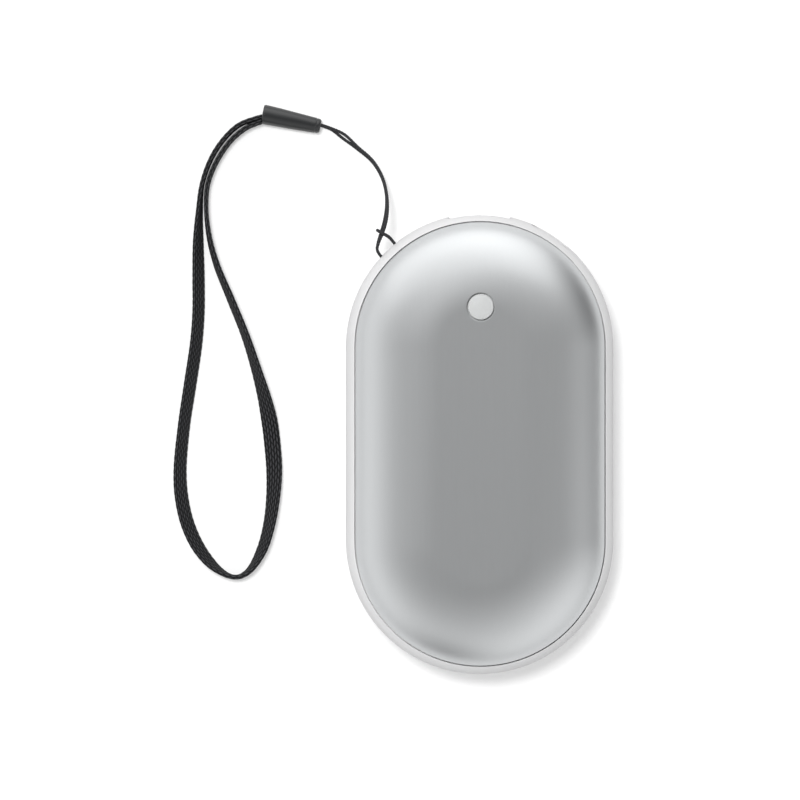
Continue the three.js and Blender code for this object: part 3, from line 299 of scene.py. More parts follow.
def sizes():
    return bpy.context.scene.hand_warmer_sizes


def colours():
    return bpy.context.scene.hand_warmer_colours


# Shapes

def level_of(node):
    """How high a node's middle is over the mid-plane."""
    low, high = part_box(node)
    return (low + high).z / 2 - MID_HEIGHT


def eye_place():
    eye = math.radians(EYE_DEGREES)
    return np.array([END_RADIUS * math.cos(eye), HALF_STRAIGHT + END_RADIUS * math.sin(eye), 0])


def dome_reach(height, inset=0.0):
    """How far from the spine the section, or an inset one, has a height over the mid-plane."""
    side = END_RADIUS - LAND_RADIUS - inset
    return LAND_RADIUS + side * math.sqrt(max(1 - (height / (MID_HEIGHT - inset)) ** 2, 0))


def dome_height(reach, inset=0.0):
    side = END_RADIUS - LAND_RADIUS - inset
    out = np.clip((np.asarray(reach) - LAND_RADIUS) / side, 0, 1)
    return (MID_HEIGHT - inset) * np.sqrt(1 - out**2)


def dome_arc(inset, low, high, steps):
    """Points (reach, height) along the section between two heights."""
    rise, side = MID_HEIGHT - inset, END_RADIUS - LAND_RADIUS - inset
    angles = np.linspace(math.asin(low / rise), math.asin(high / rise), steps + 1)
    return [(LAND_RADIUS + side * math.cos(a), rise * math.sin(a)) for a in angles]


def cut_corner(height, edge, way):
    """Points (reach, height) round the corner that a flat cut at a height leaves, above or below it."""
    beside = height + way * edge
    start, corner = np.array([dome_reach(beside), beside]), np.array([dome_reach(height), height])
    end = corner - (edge, 0)
    return [tuple(start * (1 - s) ** 2 + corner * 2 * s * (1 - s) + end * s**2) for s in CORNER_SHARES]


def seam_height():
    share = 1 - sizes().rim_width / (END_RADIUS - LAND_RADIUS)
    return MID_HEIGHT * math.sqrt(1 - share**2)


def pill_stations():
    """Directions out from the spine and where they start on it, once round the pill."""
    stations = []
    for end in (1, -1):
        start = 0 if end > 0 else math.pi
        for i in range(END_STATIONS):
            angle = start + math.pi * i / END_STATIONS
            stations.append((math.cos(angle), math.sin(angle), end * HALF_STRAIGHT))
        for i in range(SIDE_STATIONS):
            along = HALF_STRAIGHT * (1 - 2 * i / SIDE_STATIONS)
            stations.append((-end, 0, end * along))
    return np.array(stations)


def pill_ring(reach):
    """Points x, y of the pill's outline at a distance from the spine."""
    out = pill_stations()
    return np.stack([reach * out[:, 0], out[:, 2] + reach * out[:, 1]], axis=1)


def spine_distance(points):
    along = np.clip(points[:, 1], -HALF_STRAIGHT, HALF_STRAIGHT)
    return np.hypot(points[:, 0], points[:, 1] - along)


def grid_faces(rows, columns, loop=False):
    """Quads of a grid whose columns run round, and whose last row also meets the first in a loop."""
    faces = []
    for j in range(rows if loop else rows - 1):
        for i in range(columns):
            k, n = (i + 1) % columns, (j + 1) % rows
            faces.append((j * columns + i, j * columns + k, n * columns + k, n * columns + i))
    return faces


def add_object(name, data):
    made = bpy.data.objects.new(name, data)
    bpy.context.scene.collection.objects.link(made)
    return made


def smooth(mesh, sharp):
    mesh.shade_smooth()
    mesh.set_sharp_from_angle(angle=math.radians(sharp))


def finish_mesh(name, points, faces):
    """A smooth shaded mesh object with its doubles merged and its faces turned outwards."""
    mesh = bpy.data.meshes.new(name)
    mesh.from_pydata([tuple(p) for p in points], [], faces)
    work = bmesh.new()
    work.from_mesh(mesh)
    bmesh.ops.remove_doubles(work, verts=work.verts, dist=MERGE_DISTANCE)
    bmesh.ops.recalc_face_normals(work, faces=work.faces)
    work.to_mesh(mesh)
    work.free()
    smooth(mesh, SHARP_DEGREES)
    return add_object(name, mesh)


def swept_pill(name, profile):
    """A closed profile of (reach, height) points swept round the pill. It may start and end on the spine."""
    rings = [(pill_ring(reach), height) for reach, height in profile]
    rows = [np.column_stack([ring, np.full(len(ring), height)]) for ring, height in rings]
    return finish_mesh(name, np.concatenate(rows), grid_faces(len(rows), len(rows[0]), loop=True))


def lathe(name, profile, columns):
    """A profile of (radius, height) points turned round an upright axis, closed where the radius is 0."""
    angles = round_angles(columns)
    across = np.stack([np.cos(angles), np.sin(angles)], axis=1)
    rows = [np.column_stack([radius * across, np.full(columns, height)]) for radius, height in profile]
    return finish_mesh(name, np.concatenate(rows), grid_faces(len(rows), columns))


def cut_with(piece, tool, operation="DIFFERENCE"):
    """Cuts or joins a piece with a tool, and removes the tool."""
    change = piece.modifiers.new("change", "BOOLEAN")
    change.operation, change.object, change.solver = operation, tool, "EXACT"
    bpy.context.view_layer.update()
    made = bpy.data.meshes.new_from_object(piece.evaluated_get(bpy.context.evaluated_depsgraph_get()))
    if not made.polygons:
        raise RuntimeError(f"{piece.name} came out empty")
    piece.modifiers.clear()
    piece.data = made
    bpy.data.objects.remove(tool)


def from_end(turn):
    """The way from the end's centre, turned clockwise by an angle in degrees."""
    return Matrix.Translation((0, HALF_STRAIGHT, 0)) @ Matrix.Rotation(math.radians(-turn), 4, "Z")


def rounded_bar(name, width, height, corner, near, far, turn, level, arc=ARC_STEPS):
    """A rounded bar that goes out from the end's centre, along +Y before its turn."""
    x, y = width / 2 - corner, height / 2 - corner
    outline = []
    for cx, cy, start in ((x, y, 0), (-x, y, 90), (-x, -y, 180), (x, -y, 270)):
        for i in range(arc + 1):
            angle = math.radians(start + 90 * i / arc)
            outline.append((cx + corner * math.cos(angle), cy + corner * math.sin(angle)))
    count = len(outline)
    points = [(px, along, pz + level) for along in (near, far) for px, pz in outline]
    faces = grid_faces(2, count) + [tuple(range(count)), tuple(range(count, 2 * count))]
    made = finish_mesh(name, points, faces)
    made.data.transform(from_end(turn))
    return made


def through(points, per=16):
    """A smooth line through points: centripetal in its first three columns and even in the others."""
    points = np.array(points, float)
    line = np.vstack([2 * points[0] - points[1], points, 2 * points[-1] - points[-2]])
    made = []
    for i in range(len(points) - 1):
        p0, p1, p2, p3 = line[i : i + 4]
        gaps = [max(np.linalg.norm((b - a)[:3]), 1e-9) ** 0.5 for a, b in ((p0, p1), (p1, p2), (p2, p3))]
        steps = np.ones((3, points.shape[1]))
        steps[:, :3] = np.array(gaps)[:, None]
        d0, d1, d2 = steps
        t1 = ((p1 - p0) / d0 - (p2 - p0) / (d0 + d1) + (p2 - p1) / d1) * d1
        t2 = ((p2 - p1) / d1 - (p3 - p1) / (d1 + d2) + (p3 - p2) / d2) * d1
        for s in np.arange(per) / per:
            made.append(p1 + t1 * s + (3 * (p2 - p1) - 2 * t1 - t2) * s**2 + (2 * (p1 - p2) + t1 + t2) * s**3)
    return np.array([*made, points[-1]])


def evenly(line, step):
    """The same line with points at even distances, and the distance of each from its start."""
    along = np.concatenate([[0], np.cumsum(np.linalg.norm(np.diff(line[:, :3], axis=0), axis=1))])
    count = max(int(round(along[-1] / step)), 2)
    places = np.linspace(0, along[-1], count + 1)
    return np.stack([np.interp(places, along, column) for column in line.T], axis=1), places


def round_angles(steps):
    """Even angles once round."""
    return np.linspace(0, 2 * math.pi, steps, endpoint=False)


def rings_round(line, sides, ups, across, over):
    """Rings of points round a line, each point at its places along two directions."""
    return line[:, None] + sides[:, None] * across[..., None] + ups[:, None] * over[..., None]


def unit(vectors):
    return vectors / np.linalg.norm(vectors, axis=-1, keepdims=True)


def carried_frames(line):
    """Two directions across a line at each of its points, carried along it without twist."""
    tangents = unit(np.gradient(line, axis=0))
    first = unit(np.cross(tangents[0], (0, 0, 1)))
    sides = [first]
    for tangent in tangents[1:]:
        side = sides[-1] - tangent * (sides[-1] @ tangent)
        sides.append(side / np.linalg.norm(side))
    sides = np.array(sides)
    return sides, np.cross(tangents, sides)


def skin(name, rings, girth, along):
    """A closed tube through rings of points, with a map of its real girth and length in metres."""
    rows, columns = rings.shape[:2]
    faces = grid_faces(rows, columns)
    faces += [tuple(range(columns))[::-1], tuple(range((rows - 1) * columns, rows * columns))]
    mesh = bpy.data.meshes.new(name)
    mesh.from_pydata([tuple(p) for p in rings.reshape(-1, 3)], [], faces)
    smooth(mesh, STRAP_SHARP_DEGREES)
    layer = mesh.uv_layers.new(name="threads")
    for face in mesh.polygons:
        corners = [(mesh.loops[i].vertex_index, i) for i in face.loop_indices]
        seam = len(corners) == 4 and {v % columns for v, _ in corners} >= {0, columns - 1}
        for vertex, i in corners:
            column = vertex % columns
            if seam and column == 0:
                column = columns
            layer.uv[i].vector = (girth[column], along[vertex // columns])
    piece = add_object(name, mesh)
    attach(piece, "body")
    return piece


# Node helpers

def fill(tree, node, **inputs):
    """Sets a node's inputs to numbers, colours or other nodes' sockets."""
    for name, value in inputs.items():
        feed(tree, value, node.inputs[name.replace("_", " ")])
    return node


def add_node(tree, kind, settings=None, **inputs):
    node = tree.nodes.new(kind)
    for name, value in (settings or {}).items():
        setattr(node, name, value)
    return fill(tree, node, **inputs)


def feed(tree, value, socket):
    if isinstance(value, bpy.types.NodeSocket):
        tree.links.new(value, socket)
    else:
        socket.default_value = value


def calc(tree, operation, *values):
    """The result of a Math node."""
    node = tree.nodes.new("ShaderNodeMath")
    node.operation = operation
    for value, socket in zip(values, node.inputs):
        feed(tree, value, socket)
    return node.outputs[0]


def spread(tree, value, low, high):
    """A value from 0 to 1 spread between two others."""
    return add_node(tree, "ShaderNodeMapRange", Value=value, To_Min=low, To_Max=high).outputs["Result"]


def vector_math(tree, operation, **inputs):
    return add_node(tree, "ShaderNodeVectorMath", {"operation": operation}, **inputs)


def shaded(tree, colour, factor):
    """A colour made lighter or darker by a factor that changes over the surface."""
    return vector_math(tree, "SCALE", Vector=colour, Scale=factor).outputs[0]


def new_group(name, *numbers):
    """A node group that takes a colour and numbers, and puts out a colour, a height for bump and a mask."""
    group = bpy.data.node_groups.new(name, "ShaderNodeTree")
    for way, labels in (("INPUT", ("Colour", *numbers)), ("OUTPUT", ("Colour", "Height", "Mask"))):
        for label in labels:
            kind = "NodeSocketColor" if label == "Colour" else "NodeSocketFloat"
            group.interface.new_socket(label, in_out=way, socket_type=kind)
    return group, group.nodes.new("NodeGroupInput").outputs, group.nodes.new("NodeGroupOutput").inputs


def put_out(group, out, *values):
    """Feeds a group's colour, height and mask to its outputs."""
    for value, socket in zip(values, out):
        feed(group, value, socket)
    return group


def object_place(tree):
    return tree.nodes.new("ShaderNodeTexCoord").outputs["Object"]


def noise(tree, place, scale, detail):
    return add_node(tree, "ShaderNodeTexNoise", Vector=place, Scale=scale, Detail=detail).outputs["Fac"]


def mixed(tree, first, second, share):
    """Two values mixed, with a share of the first."""
    return calc(tree, "ADD", calc(tree, "MULTIPLY", first, share), calc(tree, "MULTIPLY", second, 1 - share))


def varied(group, given, share):
    """The group's colour, made darker and lighter by its variation."""
    low = calc(group, "SUBTRACT", 1.0, given["Variation"])
    high = calc(group, "ADD", 1.0, given["Variation"])
    return shaded(group, given["Colour"], spread(group, share, low, high))


def grain_group():
    """Cloudy and fine variation of a moulded or cast surface."""
    group, given, out = new_group("surface_grain", "Scale", "Variation")
    place = object_place(group)
    cloud, fine = noise(group, place, CLOUD_SCALE, 3.0), noise(group, place, given["Scale"], 4.0)
    return put_out(group, out, varied(group, given, mixed(group, cloud, fine, CLOUD_SHARE)), fine, cloud)


def drawn_group():
    """Fine lines drawn along the body's length, as a satin finish leaves them in metal."""
    group, given, out = new_group("drawn_lines", "Density", "Variation")
    stretched = (1.0, LINE_STRETCH, 1.0)
    drawn = add_node(group, "ShaderNodeMapping", Vector=object_place(group), Scale=stretched).outputs[0]
    wide = calc(group, "MULTIPLY", given["Density"], BANDS_DENSITY_SHARE)
    lines, bands = noise(group, drawn, given["Density"], 2.0), noise(group, drawn, wide, 3.0)
    both = mixed(group, lines, bands, LINES_SHARE)
    return put_out(group, out, varied(group, given, both), both, lines)


def braid_group():
    """Slanted stitches in columns, on the map of real girth and length, with painted shade that darkens the
    colour from their crests into their furrows.
    """
    group, given, out = new_group("braided_stitches", "Column", "Stitch", "Depth")
    unrolled = add_node(group, "ShaderNodeUVMap", {"uv_map": "threads"}).outputs[0]
    girth, along, _ = add_node(group, "ShaderNodeSeparateXYZ", Vector=unrolled).outputs
    columns = calc(group, "DIVIDE", girth, given["Column"])
    aside = calc(group, "SUBTRACT", calc(group, "FRACT", columns), 0.5)
    odd = calc(group, "PINGPONG", calc(group, "FLOOR", columns), 1.0)
    way = calc(group, "MULTIPLY_ADD", odd, -2 * BRAID_SLANT, BRAID_SLANT)
    stitches = calc(group, "MULTIPLY_ADD", odd, 0.5, calc(group, "DIVIDE", along, given["Stitch"]))
    stitches = calc(group, "MULTIPLY_ADD", aside, way, stitches)
    ahead = calc(group, "SUBTRACT", calc(group, "FRACT", stitches), 0.5)
    round_aside = calc(group, "COSINE", calc(group, "MULTIPLY", aside, math.pi))
    round_ahead = calc(group, "SQRT", calc(group, "COSINE", calc(group, "MULTIPLY", ahead, math.pi)))
    height = calc(group, "MULTIPLY", round_aside, round_ahead)
    fuzz = noise(group, object_place(group), FUZZ_SCALE, 4.0)
    # Painted shade: the colour is full on the stitches' crests and darkest in the furrows between them
    crest = calc(group, "POWER", height, BRAID_CREST)
    tone = spread(group, crest, calc(group, "SUBTRACT", 1.0, given["Depth"]), 1.0)
    tone = calc(group, "MULTIPLY", tone, spread(group, fuzz, *FUZZ_TONES))
    height = calc(group, "MULTIPLY_ADD", fuzz, FUZZ_HEIGHT, height)
    return put_out(group, out, shaded(group, given["Colour"], tone), height, fuzz)


GROUP_MAKERS = {"grain": grain_group, "drawn": drawn_group, "braid": braid_group}
GROUPS = {}
FINISHES = {}


def group_of(kind):
    if kind not in GROUPS:
        GROUPS[kind] = GROUP_MAKERS[kind]()
    return GROUPS[kind]


def new_finish(name, look, rough, bump, metallic=0.0, **values):
    """A material fed by a node group. rough is a range, and bump a strength and a depth in millimetres."""
    material = bpy.data.materials.new(name)
    material.use_nodes = True
    tree = material.node_tree
    kind, given = look
    made = add_node(tree, "ShaderNodeGroup", {"node_tree": group_of(kind)}, **given).outputs
    strength, depth = bump
    lift = add_node(tree, "ShaderNodeBump", Strength=strength, Distance=depth * MM, Height=made["Height"])
    fill(
        tree, tree.nodes["Principled BSDF"], Base_Color=made["Colour"], Metallic=metallic,
        Roughness=spread(tree, made["Mask"], *rough), Normal=lift.outputs[0], **values,
    )
    FINISHES[name] = material
    return material


def grain(colour, scale, variation=0.04):
    return "grain", {"Colour": (*colour, 1), "Scale": scale, "Variation": variation}


def drawn(colour, density=9000.0, variation=0.03):
    return "drawn", {"Colour": (*colour, 1), "Density": density, "Variation": variation}


def shell_finish():
    return new_finish("satin_aluminium", drawn(colours().aluminium), (0.27, 0.33), (0.08, 0.02), 1.0)


def rim_finish():
    look = grain(colours().rim, 2600.0, 0.015)
    return new_finish("pale_plastic", look, (0.42, 0.5), (0.05, 0.03), Specular_IOR_Level=0.2)


def button_finish():
    return new_finish(
        "clear_white", grain(colours().button, 1500.0, 0.012), (0.3, 0.36), (0.03, 0.02),
        Subsurface_Weight=0.25, Subsurface_Radius=(0.0012, 0.0012, 0.0011), Subsurface_Scale=1.0,
        Coat_Weight=0.6, Coat_Roughness=0.15,
    )


def strap_finish(name, column, stitch, depth):
    # depth here sets how dark the painted shade in the braid's furrows is
    given = {"Colour": (*colours().strap, 1), "Column": column, "Stitch": stitch, "Depth": depth}
    return new_finish(
        name, ("braid", given), (0.5, 0.75), (0.4, 0.1),
        Sheen_Weight=0.03, Sheen_Roughness=0.4, Specular_IOR_Level=0.1,
    )


def sleeve_finish():
    look = grain(colours().sleeve, 3000.0, 0.15)
    return new_finish("soft_sleeve", look, (0.25, 0.32), (0.12, 0.04), Specular_IOR_Level=0.7, IOR=1.65)


# Finishes of the pieces inside and of the sockets: look, roughness, bump and metallic
PLAIN_FINISHES = {
    "grey_plastic": (grain((0.26, 0.28, 0.29), 2200.0), (0.5, 0.62), (0.1, 0.04)),
    "black_plastic": (grain((0.018, 0.018, 0.018), 2600.0, 0.12), (0.38, 0.5), (0.08, 0.03)),
    "bright_steel": (drawn((0.62, 0.62, 0.61), 7000.0, 0.05), (0.2, 0.32), (0.06, 0.02), 1.0),
    "cell_wrap": (grain((0.05, 0.27, 0.1), 700.0, 0.05), (0.25, 0.35), (0.04, 0.03)),
    "film_amber": (grain((0.47, 0.19, 0.02), 500.0, 0.1), (0.25, 0.4), (0.06, 0.03)),
    "foam_grey": (grain((0.15, 0.15, 0.15), 1400.0, 0.3), (0.85, 1.0), (0.6, 0.2)),
    "board_green": (grain((0.015, 0.14, 0.045), 1200.0, 0.1), (0.3, 0.42), (0.06, 0.03)),
    "red_lead": (grain((0.45, 0.02, 0.012), 1800.0, 0.06), (0.4, 0.5), (0.08, 0.03)),
    "black_lead": (grain((0.015, 0.015, 0.015), 1800.0, 0.1), (0.4, 0.5), (0.08, 0.03)),
    "contact_gold": (drawn((0.72, 0.5, 0.2), 7000.0, 0.05), (0.22, 0.32), (0.04, 0.02), 1.0),
}


def plain_finish(name):
    return FINISHES[name] if name in FINISHES else new_finish(name, *PLAIN_FINISHES[name])


def dress(piece, material):
    piece.data.materials.clear()
    piece.data.materials.append(material)


def seat_on_body(piece, material, body="body"):
    """Moves a piece made round the mid-plane to its height, and lets it ride on its body."""
    piece.data.transform(Matrix.Translation((0, 0, MID_HEIGHT)))
    dress(piece, material)
    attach(piece, body)


# Pieces

class HANDWARMER_OT_string(Operator):
    """Makes the twisted string, doubled through the eye and hitched round itself"""

    bl_idname = "handwarmer.string"
    bl_label = "Lanyard String"

    def strand(self, side):
        route = np.array(PAIR_ROUTE, float)
        ahead = np.gradient(route, axis=0)
        heading = np.arctan2(ahead[:, 1], ahead[:, 0])
        roll = np.radians(route[:, 3])
        aside, up = side * STRAND_OFFSET * np.cos(roll), side * STRAND_OFFSET * np.sin(roll)
        return route[:, :3] + np.stack([-aside * np.sin(heading), aside * np.cos(heading), up], axis=1)

    def tunnel(self, side):
        """The stretch behind the eye's bridge."""
        x, y, _ = eye_place() / MM
        z = MID_HEIGHT / MM + side * STRAND_OFFSET
        turns = [math.radians(EYE_DEGREES + 90 + degrees) for degrees in TUNNEL_DEGREES]
        return np.array([(x + TUNNEL_REACH * math.cos(t), y + TUNNEL_REACH * math.sin(t), z) for t in turns])

    def execute(self, context):
        there = np.vstack([self.strand(1), self.tunnel(1)])
        back = np.vstack([self.strand(-1), self.tunnel(-1)])[::-1]
        line, along = evenly(through(np.vstack([there, BIGHT_ROUTE, back])) * MM, STRING_STEP)
        sides, ups = carried_frames(line)
        angles = round_angles(STRING_SIDES)
        turn = along[:, None] * 2 * math.pi / sizes().string_twist
        yarns = np.abs(np.cos(STRING_YARNS / 2 * (angles[None, :] - turn)))
        radius = STRING_DIAMETER / 2 * (1 - YARN_HOLLOW_SHARE * (1 - yarns))
        rings = rings_round(line, sides, ups, radius * np.cos(angles), radius * np.sin(angles))
        girth = np.linspace(0, math.pi * STRING_DIAMETER, STRING_SIDES + 1)
        piece = skin("twisted_string", rings, girth, along)
        dress(piece, strap_finish("twisted_cord", STRING_COLUMN, STRING_STITCH, STRING_FURROW_SHADE))
        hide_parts("lanyard_string")
        return {"FINISHED"}


class HANDWARMER_OT_band(Operator):
    """Makes the flat braided band, looped from the sleeve and back"""

    bl_idname = "handwarmer.band"
    bl_label = "Wrist Band"

    def section(self):
        """The band's section with rounded edges: points at even steps, and their distances round it."""
        angles = np.linspace(0, 2 * math.pi, BAND_SECTION_STEPS)
        waves, halves = (np.cos(angles), np.sin(angles)), (BAND_WIDTH / 2, BAND_THICKNESS / 2)
        across, thick = (
            np.sign(wave) * np.abs(wave) ** power * half
            for wave, power, half in zip(waves, BAND_SECTION_POWERS, halves)
        )
        girth = np.concatenate([[0], np.cumsum(np.hypot(np.diff(across), np.diff(thick)))])
        places = np.linspace(0, girth[-1], BAND_SIDES + 1)
        return np.interp(places, girth, across), np.interp(places, girth, thick), places

    def stitches(self, girth, along):
        """How far the braid stands out at each place, from 0 to 1."""
        columns = girth / BRAID_COLUMN
        aside, odd = columns % 1 - 0.5, np.floor(columns) % 2
        ahead = (along / BRAID_STITCH + 0.5 * odd + BRAID_SLANT * (1 - 2 * odd) * aside) % 1 - 0.5
        return np.cos(math.pi * aside) * np.sqrt(np.cos(math.pi * ahead))

    def execute(self, context):
        route = np.array(BAND_ROUTE, float)
        lean = np.radians(route[:, 2])
        rise = FLOOR_GAP + (BAND_WIDTH * np.sin(lean) + BAND_THICKNESS * np.cos(lean)) / 2
        line = through(np.column_stack([route[:, :2] * MM, rise, lean]))
        line, along = evenly(line, BAND_STEP)
        heading = np.gradient(line[:, :3], axis=0)
        heading[:, 2] = 0
        heading = unit(heading)
        up = np.array([0.0, 0.0, 1.0])
        outward = np.cross(heading, up)
        lean = np.minimum(line[:, 3], math.pi / 2)[:, None]
        wide = outward * np.cos(lean) + up * np.sin(lean)
        thin = np.cross(heading, wide)
        across, over, girth = self.section()
        hollow = 2 * BRAID_RELIEF * (1 - self.stitches(girth[None, :-1], along[:, None]))
        across, over = across[:-1] * (1 - hollow / BAND_WIDTH), over[:-1] * (1 - hollow / BAND_THICKNESS)
        rings = rings_round(line[:, :3], wide, thin, across, over)
        piece = skin("braided_band", rings, girth, along)
        dress(piece, strap_finish("braided_band", BRAID_COLUMN, BRAID_STITCH, BAND_FURROW_SHADE))
        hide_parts("wrist_band")
        return {"FINISHED"}


class HANDWARMER_OT_sleeve(Operator):
    """Makes the soft tapered sleeve on the string and the band"""

    bl_idname = "handwarmer.sleeve"
    bl_label = "Strap Sleeve"

    def execute(self, context):
        shares = through([(share, radius, 0) for share, radius in SLEEVE_BULGE_SHARES], SLEEVE_STEPS)
        share, radius = shares[:, :1], shares[:, 1:2]
        axis = SLEEVE_END - SLEEVE_START
        side = axis.cross(Vector((0, 0, 1))).normalized()
        up = side.cross(axis).normalized()
        angles = round_angles(SLEEVE_SIDES)
        round_waves, long_waves = SLEEVE_WAVES
        waver = (1 + np.sin(round_waves * angles + long_waves * share)) / 2
        reach = SLEEVE_RADIUS * radius * (1 - SLEEVE_WAVER_SHARE * waver)
        line = np.array(SLEEVE_START) + share * np.array(axis)
        ways = np.array([[side], [up]])
        rings = rings_round(line, *ways, reach * np.cos(angles), reach * np.sin(angles))
        girth = np.linspace(0, 2 * math.pi * SLEEVE_RADIUS, SLEEVE_SIDES + 1)
        piece = skin("soft_sleeve", rings, girth, share[:, 0] * axis.length)
        dress(piece, sleeve_finish())
        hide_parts("lanyard_ferrule")
        return {"FINISHED"}


class HANDWARMER_OT_shells(Operator):
    """Makes the two domed aluminium shells, the front one with the button's hole"""

    bl_idname = "handwarmer.shells"
    bl_label = "Aluminium Shells"

    def edge(self, low, wall):
        """Points (reach, height) round the shell's thin edge at the seam, from the outside to the inside."""
        return [*cut_corner(low, sizes().edge_round, 1), (dome_reach(low, wall), low)]

    def front(self, low, wall):
        centre = np.array(BUTTON_CENTRE)
        e, radius = FINE_EDGE, sizes().hole_diameter / 2
        outline = pill_ring(dome_reach(low + sizes().edge_round))
        out = unit(outline - centre)
        rows = []

        def row(points, inset, drop=0.0):
            rows.append(np.column_stack([points, dome_height(spine_distance(points), inset) - drop]))

        hole = centre + radius * out
        row(hole, wall)
        for degrees in HOLE_EDGE_DEGREES:
            a = math.radians(degrees)
            row(centre + (radius + e * (1 - math.cos(a))) * out, 0, e * (1 - math.sin(a)))
        start = centre + (radius + e) * out
        outside, inside = FRONT_ROWS
        shares = 1 - (1 - np.linspace(0, 1, outside)[1:]) ** EDGE_CROWDING
        for share in (*HOLE_ROW_SHARES, *shares):
            row(start + share * (outline - start), 0)
        for reach, height in self.edge(low, wall):
            rows.append(np.column_stack([pill_ring(reach), np.full(len(out), height)]))
        inner = pill_ring(dome_reach(low, wall))
        for share in np.linspace(1, 0, inside)[1:-1]:
            row(hole + share * (inner - hole), wall)
        faces = grid_faces(len(rows), len(out), loop=True)
        return finish_mesh("front_shell_drawn", np.concatenate(rows), faces)

    def rear(self, low, wall):
        outside, inside = REAR_STEPS
        arc = dome_arc(0, MID_HEIGHT, low + sizes().edge_round, outside)
        outer = [(0, MID_HEIGHT), (LAND_RADIUS / 2, MID_HEIGHT), *arc]
        inner = [*dome_arc(wall, low, MID_HEIGHT - wall, inside)[1:], (0, MID_HEIGHT - wall)]
        profile = [(reach, -height) for reach, height in [*outer, *self.edge(low, wall), *inner]]
        return swept_pill("rear_shell_drawn", profile)

    def execute(self, context):
        wall = sizes().shell_wall
        low = seam_height() + sizes().seam_gap
        material = shell_finish()
        for piece, node in ((self.front(low, wall), "front_shell"), (self.rear(low, wall), "rear_shell")):
            seat_on_body(piece, material)
            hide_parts(node)
        return {"FINISHED"}


class HANDWARMER_OT_rim(Operator):
    """Makes the plastic rim with its seam ledges, lanyard eye and socket windows"""

    bl_idname = "handwarmer.rim"
    bl_label = "Plastic Rim"

    def profile(self):
        seam, e = seam_height(), FINE_EDGE
        inset = sizes().shell_wall + FIT
        lip = seam + LIP_HEIGHT
        lip_reach = dome_reach(lip, inset) - LIP_THICKNESS
        rounded = cut_corner(seam, e, -1)
        groove = rounded[-1][0] - GROOVE_LEDGE
        foot = seam - GROOVE_DEPTH - GROOVE_WALL / 2
        inside = END_RADIUS - FRAME_WALL
        upper = [
            *dome_arc(0, 0, seam - e, RIM_STEPS),
            *rounded,
            (groove, seam - e),
            (groove, seam - GROOVE_DEPTH),
            (groove - GROOVE_WIDTH, seam - GROOVE_DEPTH),
            (groove - GROOVE_WIDTH, seam),
            (dome_reach(seam, inset), seam),
            (dome_reach(lip, inset), lip),
            (lip_reach, lip),
            (lip_reach, seam - LIP_THICKNESS),
            (inside - GROOVE_WALL, seam - LIP_THICKNESS),
            (inside - GROOVE_WALL, foot),
            (inside, foot - GROOVE_WALL),
        ]
        return upper + [(reach, -height) for reach, height in reversed(upper[1:])]

    def eye_bore(self):
        """A ring half inside the rim, whose bore the string follows."""
        rounds, girths = EYE_STEPS
        points = []
        for r in round_angles(rounds):
            for g in round_angles(girths):
                reach = EYE_PITCH_RADIUS + EYE_BORE_RADIUS * math.cos(g)
                out = (reach * math.cos(r), reach * math.sin(r), EYE_BORE_RADIUS * math.sin(g))
                points.append(eye_place() + out)
        return finish_mesh("eye_bore", points, grid_faces(*EYE_STEPS, loop=True))

    def execute(self, context):
        rim = swept_pill("moulded_rim", self.profile())
        half = EYE_PITCH_RADIUS + EYE_BORE_RADIUS + EYE_WALL
        tall = 2 * (EYE_BORE_RADIUS + EYE_WALL)
        far = END_RADIUS - FRAME_WALL + BOSS_DEPTH
        boss = rounded_bar("boss", 2 * half, tall, FIT, END_RADIUS - half, far, 90 - EYE_DEGREES, 0)
        cut_with(rim, boss, "UNION")
        cut_with(rim, self.eye_bore())
        near, far = END_RADIUS - 2 * FRAME_WALL, END_RADIUS + FRAME_WALL
        a_level, c_level = level_of("usb_a_shell"), level_of("usb_c_shell")
        gaps = 2 * WINDOW_GAP
        a_size = (USB_A_WIDTH + gaps, USB_A_HEIGHT + gaps, gaps)
        c_size = (USB_C_WIDTH + gaps, USB_C_HEIGHT + gaps, (USB_C_HEIGHT + gaps) / 2 - WINDOW_FLAT)
        cut_with(rim, rounded_bar("window", *a_size, near, far, 0, a_level))
        cut_with(rim, rounded_bar("window", *c_size, near, far, USB_C_DEGREES, c_level, USB_C_ARC_STEPS))
        seat_on_body(rim, rim_finish())
        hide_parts("middle_frame")
        return {"FINISHED"}


class HANDWARMER_OT_button(Operator):
    """Makes the button cap with its rounded crown, flange and stem"""

    bl_idname = "handwarmer.button"
    bl_label = "Power Button"

    def execute(self, context):
        radius = sizes().hole_diameter / 2 - sizes().button_gap
        flange = CAP_HIGH.x
        bottom, top = CAP_LOW.z - MID_HEIGHT, CAP_HIGH.z - MID_HEIGHT
        flange_top = MID_HEIGHT - sizes().shell_wall - BUTTON_FLANGE_DROP
        under, stem, bevel = flange_top - BUTTON_FLANGE_THICKNESS, BUTTON_STEM_RADIUS, FIT / 2
        profile = [
            (0, bottom), (stem - FIT, bottom), (stem, bottom + FIT), (stem, under), (flange - bevel, under),
            (flange, under + bevel), (flange, flange_top - bevel), (flange - bevel, flange_top),
            (radius, flange_top),
        ]
        shoulder, inner = top - BUTTON_CROWN, radius - BUTTON_SHOULDER
        for degrees in BUTTON_SHOULDER_DEGREES:
            out, up = math.cos(math.radians(degrees)), math.sin(math.radians(degrees))
            profile.append((radius - BUTTON_SHOULDER * (1 - out), shoulder - BUTTON_SHOULDER * (1 - up)))
        profile += [(inner * share, top - BUTTON_CROWN * share**2) for share in BUTTON_CROWN_SHARES]
        cap = lathe("button_cap_moulded", profile, BUTTON_COLUMNS)
        cap.data.transform(Matrix.Translation((*BUTTON_CENTRE, 0)))
        seat_on_body(cap, button_finish(), "button")
        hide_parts("button_cap")
        return {"FINISHED"}


